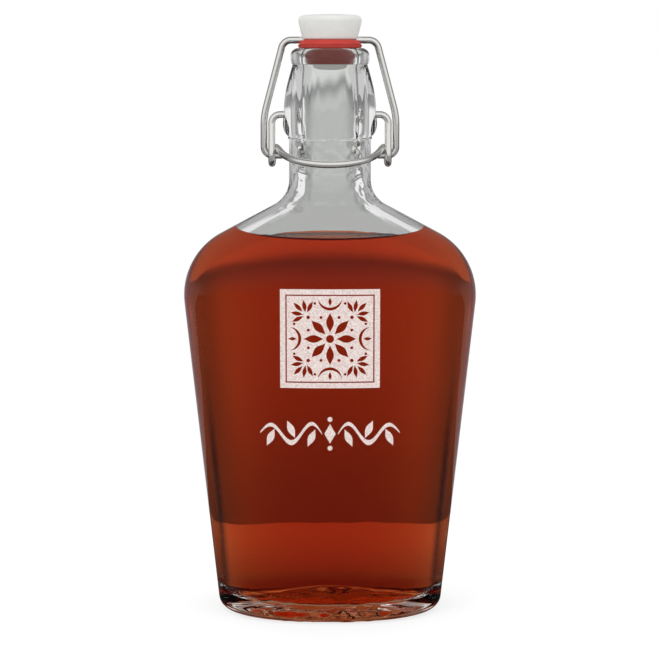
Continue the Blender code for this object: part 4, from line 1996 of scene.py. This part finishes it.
@dataclass(frozen=True)
class Fade:
    """A smooth change from one level to another over a span."""

    span: Pair
    levels: Pair = (0.0, 1.0)

    def of(self, graph: Graph, source: bpy.types.NodeSocket) -> bpy.types.NodeSocket:
        """Adds the change to a graph and returns its output."""
        return graph.ramp(source, self.span, self.levels)


@dataclass(frozen=True)
class Surroundings:
    """The pale surroundings, with what glass, metal and matt surfaces each see of them.

    The camera sees them as white. Glass shows them as a pale grey backdrop that darkens towards the sides,
    and metal shows a pale band along the horizon, as round a flask that is lit from behind. Spans are parts
    of a direction of length 1: how far it points aside, away from the camera or up.
    """

    matt_level: float = 0.57
    middle: float = 0.5
    side: float = 0.32
    beneath: float = 0.75
    edge: float = 0.95
    front: float = 0.8
    top: float = 0.9
    glass_above: float = 0.14
    to_side: Fade = Fade((0.18, 0.42))
    to_edge: Fade = Fade((0.6, 0.72))
    to_low: Fade = Fade((-0.075, -0.045), (1.0, 0.0))
    to_beneath: Fade = Fade((-0.33, -0.225), (1.0, 0.0))
    to_upper_edge: Fade = Fade((-0.1, -0.02))
    to_top: Fade = Fade((0.4, 0.5))
    to_front: Fade = Fade((-0.25, 0.0), (1.0, 0.0))
    to_outside: Fade = Fade((0.98, 0.98 + 0.05))
    outside_lean: float = -2.1
    outside: Fade = Fade((-0.235, -0.215), (0.62, 0.22))
    low_side: Fade = Fade((-0.25, -0.1), (0.17, 0.29))
    low_middle: Fade = Fade((-0.25, -0.12), (0.28, 0.55))
    metal_depth: Fade = Fade((-0.5, 0.1), (1.0, 0.3))
    metal_rise: Fade = Fade((-0.16, 0.02), (0.2, 1.0))
    glass_depth: Fade = Fade((-0.4, 0.2), (0.06, 0.35))
    to_glass_above: Fade = Fade((-0.04, 0.2))

    def through_glass(self, graph: Graph, across: Any, depth: Any, height: Any) -> bpy.types.NodeSocket:
        """Adds what the surroundings look like through glass and liquid.

        Args:
            graph: The graph to add it to.
            across: The output for how far a direction points to either side.
            depth: The output for how far it points away from the camera.
            height: The output for how far it points up.

        Returns:
            The output that gives the brightness in each direction.
        """
        low = self.to_low.of(graph, height)
        side = graph.switch(low, self.side, self.low_side.of(graph, height))
        middle = graph.switch(low, self.middle, self.low_middle.of(graph, height))
        level = graph.switch(self.to_side.of(graph, across), middle, side)
        level = graph.switch(self.to_beneath.of(graph, height), level, self.beneath)
        outward = self.to_edge.of(graph, across)
        upward = self.to_upper_edge.of(graph, height)
        level = graph.switch(graph.math("MULTIPLY", outward, upward), level, self.edge)
        leaning = graph.math("MULTIPLY_ADD", height, self.outside_lean, across)
        beyond = graph.math("MULTIPLY", self.to_outside.of(graph, leaning), low)
        level = graph.switch(beyond, level, self.outside.of(graph, height))
        level = graph.switch(self.to_top.of(graph, height), level, self.top)
        return graph.switch(self.to_front.of(graph, depth), level, self.front)

    def build(self) -> None:
        """Adds the surroundings."""
        world = bpy.data.worlds.new("studio")
        world.use_nodes = True
        graph = Graph(world.node_tree)
        ray = graph.add("LightPath")
        parts = graph.add("SeparateXYZ", graph.add("TexCoord")["Generated"])
        depth, height = parts["Y"], parts["Z"]
        through = self.through_glass(graph, graph.math("ABSOLUTE", parts["X"]), depth, height)
        rise = self.metal_rise.of(graph, height)
        in_metal = graph.math("MULTIPLY", rise, self.metal_depth.of(graph, depth))
        in_glass = self.glass_depth.of(graph, depth)
        in_glass = graph.switch(self.to_glass_above.of(graph, height), in_glass, self.glass_above)
        mirrored = graph.switch(ray["Is Singular Ray"], in_metal, in_glass)
        strength = graph.switch(ray["Is Glossy Ray"], self.matt_level, mirrored)
        strength = graph.switch(ray["Is Transmission Ray"], strength, through)
        strength = graph.switch(ray["Is Camera Ray"], strength, 1.0)
        graph.fill(world.node_tree.nodes["Background"], Color=WHITE, Strength=strength)
        bpy.context.scene.world = world


@dataclass(frozen=True)
class Table:
    """A pale table top, whose back edge lies a little behind the flask."""

    behind: float = 122 * MM
    front: float = 1500 * MM
    half_width: float = 1500 * MM
    drop: float = 0.1 * MM
    colour: Colour = (0.88, 0.88, 0.88)
    glow_share: float = 0.62
    white: float = 1.2
    in_metal: float = 0.35
    in_glass: float = 0.03
    # Seen through the glass, the glow is painted dimmer near the flask: a painted shadow round its foot.
    through: Fade = Fade((25 * MM, 108 * MM), (0.36, 0.68))

    def paper(self) -> bpy.types.Material:
        """Makes the paper, part glow and part matt, so that it keeps the flask's shadow. Seen through glass,
        its glow carries a painted shadow near the flask.

        Returns:
            The material.
        """
        made, graph, shader = start_material("table_paper")
        graph.tree.nodes.remove(shader)
        ray = graph.add("LightPath")
        distance = graph.add("VectorMath", graph.add("TexCoord")["Object"], operation="LENGTH")["Value"]
        mirrored = graph.switch(ray["Is Singular Ray"], self.in_metal, self.in_glass)
        strength = graph.switch(ray["Is Glossy Ray"], self.white, mirrored)
        # The glow seen through glass carries the painted shadow near the flask.
        strength = graph.switch(ray["Is Transmission Ray"], strength, self.through.of(graph, distance))
        sight = graph.math("MAXIMUM", ray["Is Glossy Ray"], ray["Is Transmission Ray"])
        share = graph.math("MULTIPLY_ADD", ray["Is Camera Ray"], self.glow_share, sight)
        matt = graph.first("BsdfDiffuse", Color=self.colour)
        glow = graph.first("Emission", Color=WHITE, Strength=strength)
        surface = graph.first("MixShader", share, matt, glow)
        graph.fill(graph.tree.nodes["Material Output"], Surface=surface)
        return made

    def build(self) -> None:
        """Adds the table."""
        deselect_all()
        middle = (self.behind - self.front) / 2
        bpy.ops.mesh.primitive_plane_add(size=1, location=(0, middle, -self.drop))
        bpy.ops.transform.resize(value=(2 * self.half_width, self.behind + self.front, 1))
        table = bpy.context.object
        table.name = "table_top"
        apply_place(table)
        dress(table, self.paper())


@dataclass(frozen=True)
class Studio:
    """The table, the pale surroundings, the lamps and the camera."""

    camera_distance: float = 608 * MM
    camera_height: float = 174.7 * MM
    camera_left: float = 0.3 * MM
    camera_near: float = 10 * MM
    pitch: float = 8.16
    focal_pixels: float = 1980.0
    frame_pixels: float = 658.0
    sensor: float = 36.0
    bounces: int = 24
    glossy_bounces: int = 8
    transparent_bounces: int = 16
    aim: tuple[float, float, float] = (0, 0, 0.095)
    lamps: tuple[Softbox, ...] = (
        Softbox("key_left", (-0.8, -0.8, 0.8), (0.6, 0.6), 4.0),
        Softbox("fill_right", (0.9, -0.6, 0.5), (0.6, 0.7), 2.0),
        Softbox("overhead", (0.0, 0.0, 1.1), (0.5, 0.5), 2.5),
        Softbox("back_left", (-0.58, 0.69, 0.3), (0.6, 0.9), 1.9),
        Softbox("back_right", (0.58, 0.69, 0.3), (0.6, 0.9), 1.9),
    )

    def build_lamps(self) -> None:
        """Adds the soft lamps."""
        for box in self.lamps:
            deselect_all()
            bpy.ops.object.light_add(type="AREA", location=box.place)
            lamp = bpy.context.object
            lamp.name = box.name
            lamp.data.shape = "RECTANGLE"
            lamp.data.size, lamp.data.size_y = box.size
            lamp.data.energy = box.power
            lamp.visible_camera = lamp.visible_glossy = lamp.visible_transmission = False
            direction = Vector(self.aim) - Vector(box.place)
            lamp.rotation_euler = direction.to_track_quat("-Z", "Y").to_euler()

    def build_camera(self) -> None:
        """Adds the camera at the picture's viewing angle."""
        deselect_all()
        tilt = math.radians(90 - self.pitch)
        place = (-self.camera_left, -self.camera_distance, self.camera_height)
        bpy.ops.object.camera_add(location=place, rotation=(tilt, 0, 0))
        camera = bpy.context.object
        camera.data.sensor_width = self.sensor
        camera.data.lens = self.focal_pixels / self.frame_pixels * self.sensor
        camera.data.clip_start = self.camera_near
        bpy.context.scene.camera = camera

    def build(self) -> None:
        """Builds the whole studio."""
        Table().build()
        Surroundings().build()
        self.build_lamps()
        self.build_camera()
        scene = bpy.context.scene
        scene.view_settings.view_transform = "Standard"
        scene.cycles.max_bounces = self.bounces
        scene.cycles.transmission_bounces = self.bounces
        scene.cycles.glossy_bounces = self.glossy_bounces
        scene.cycles.transparent_max_bounces = self.transparent_bounces


def main() -> None:
    """Builds every piece round the frame."""
    logging.basicConfig(level=logging.INFO, format="%(name)s: %(message)s")
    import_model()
    for build_group in (
        build_waves_group, build_grain_group, build_marks_group, build_foot_group, build_flank_group
    ):
        build_group()
    noise.seed_set(RIPPLE_SEED)
    shape = FlaskShape()
    shell = GlassShell(shape)
    glass = shell.build()
    Contents(shape).build()
    sizes = ClosureSizes(shell)
    Stopper(sizes).build()
    Seal(sizes).build()
    WireClosure(sizes).build()
    EtchedOrnament(glass).build()
    Studio().build()


if __name__ == "__main__":
    main()
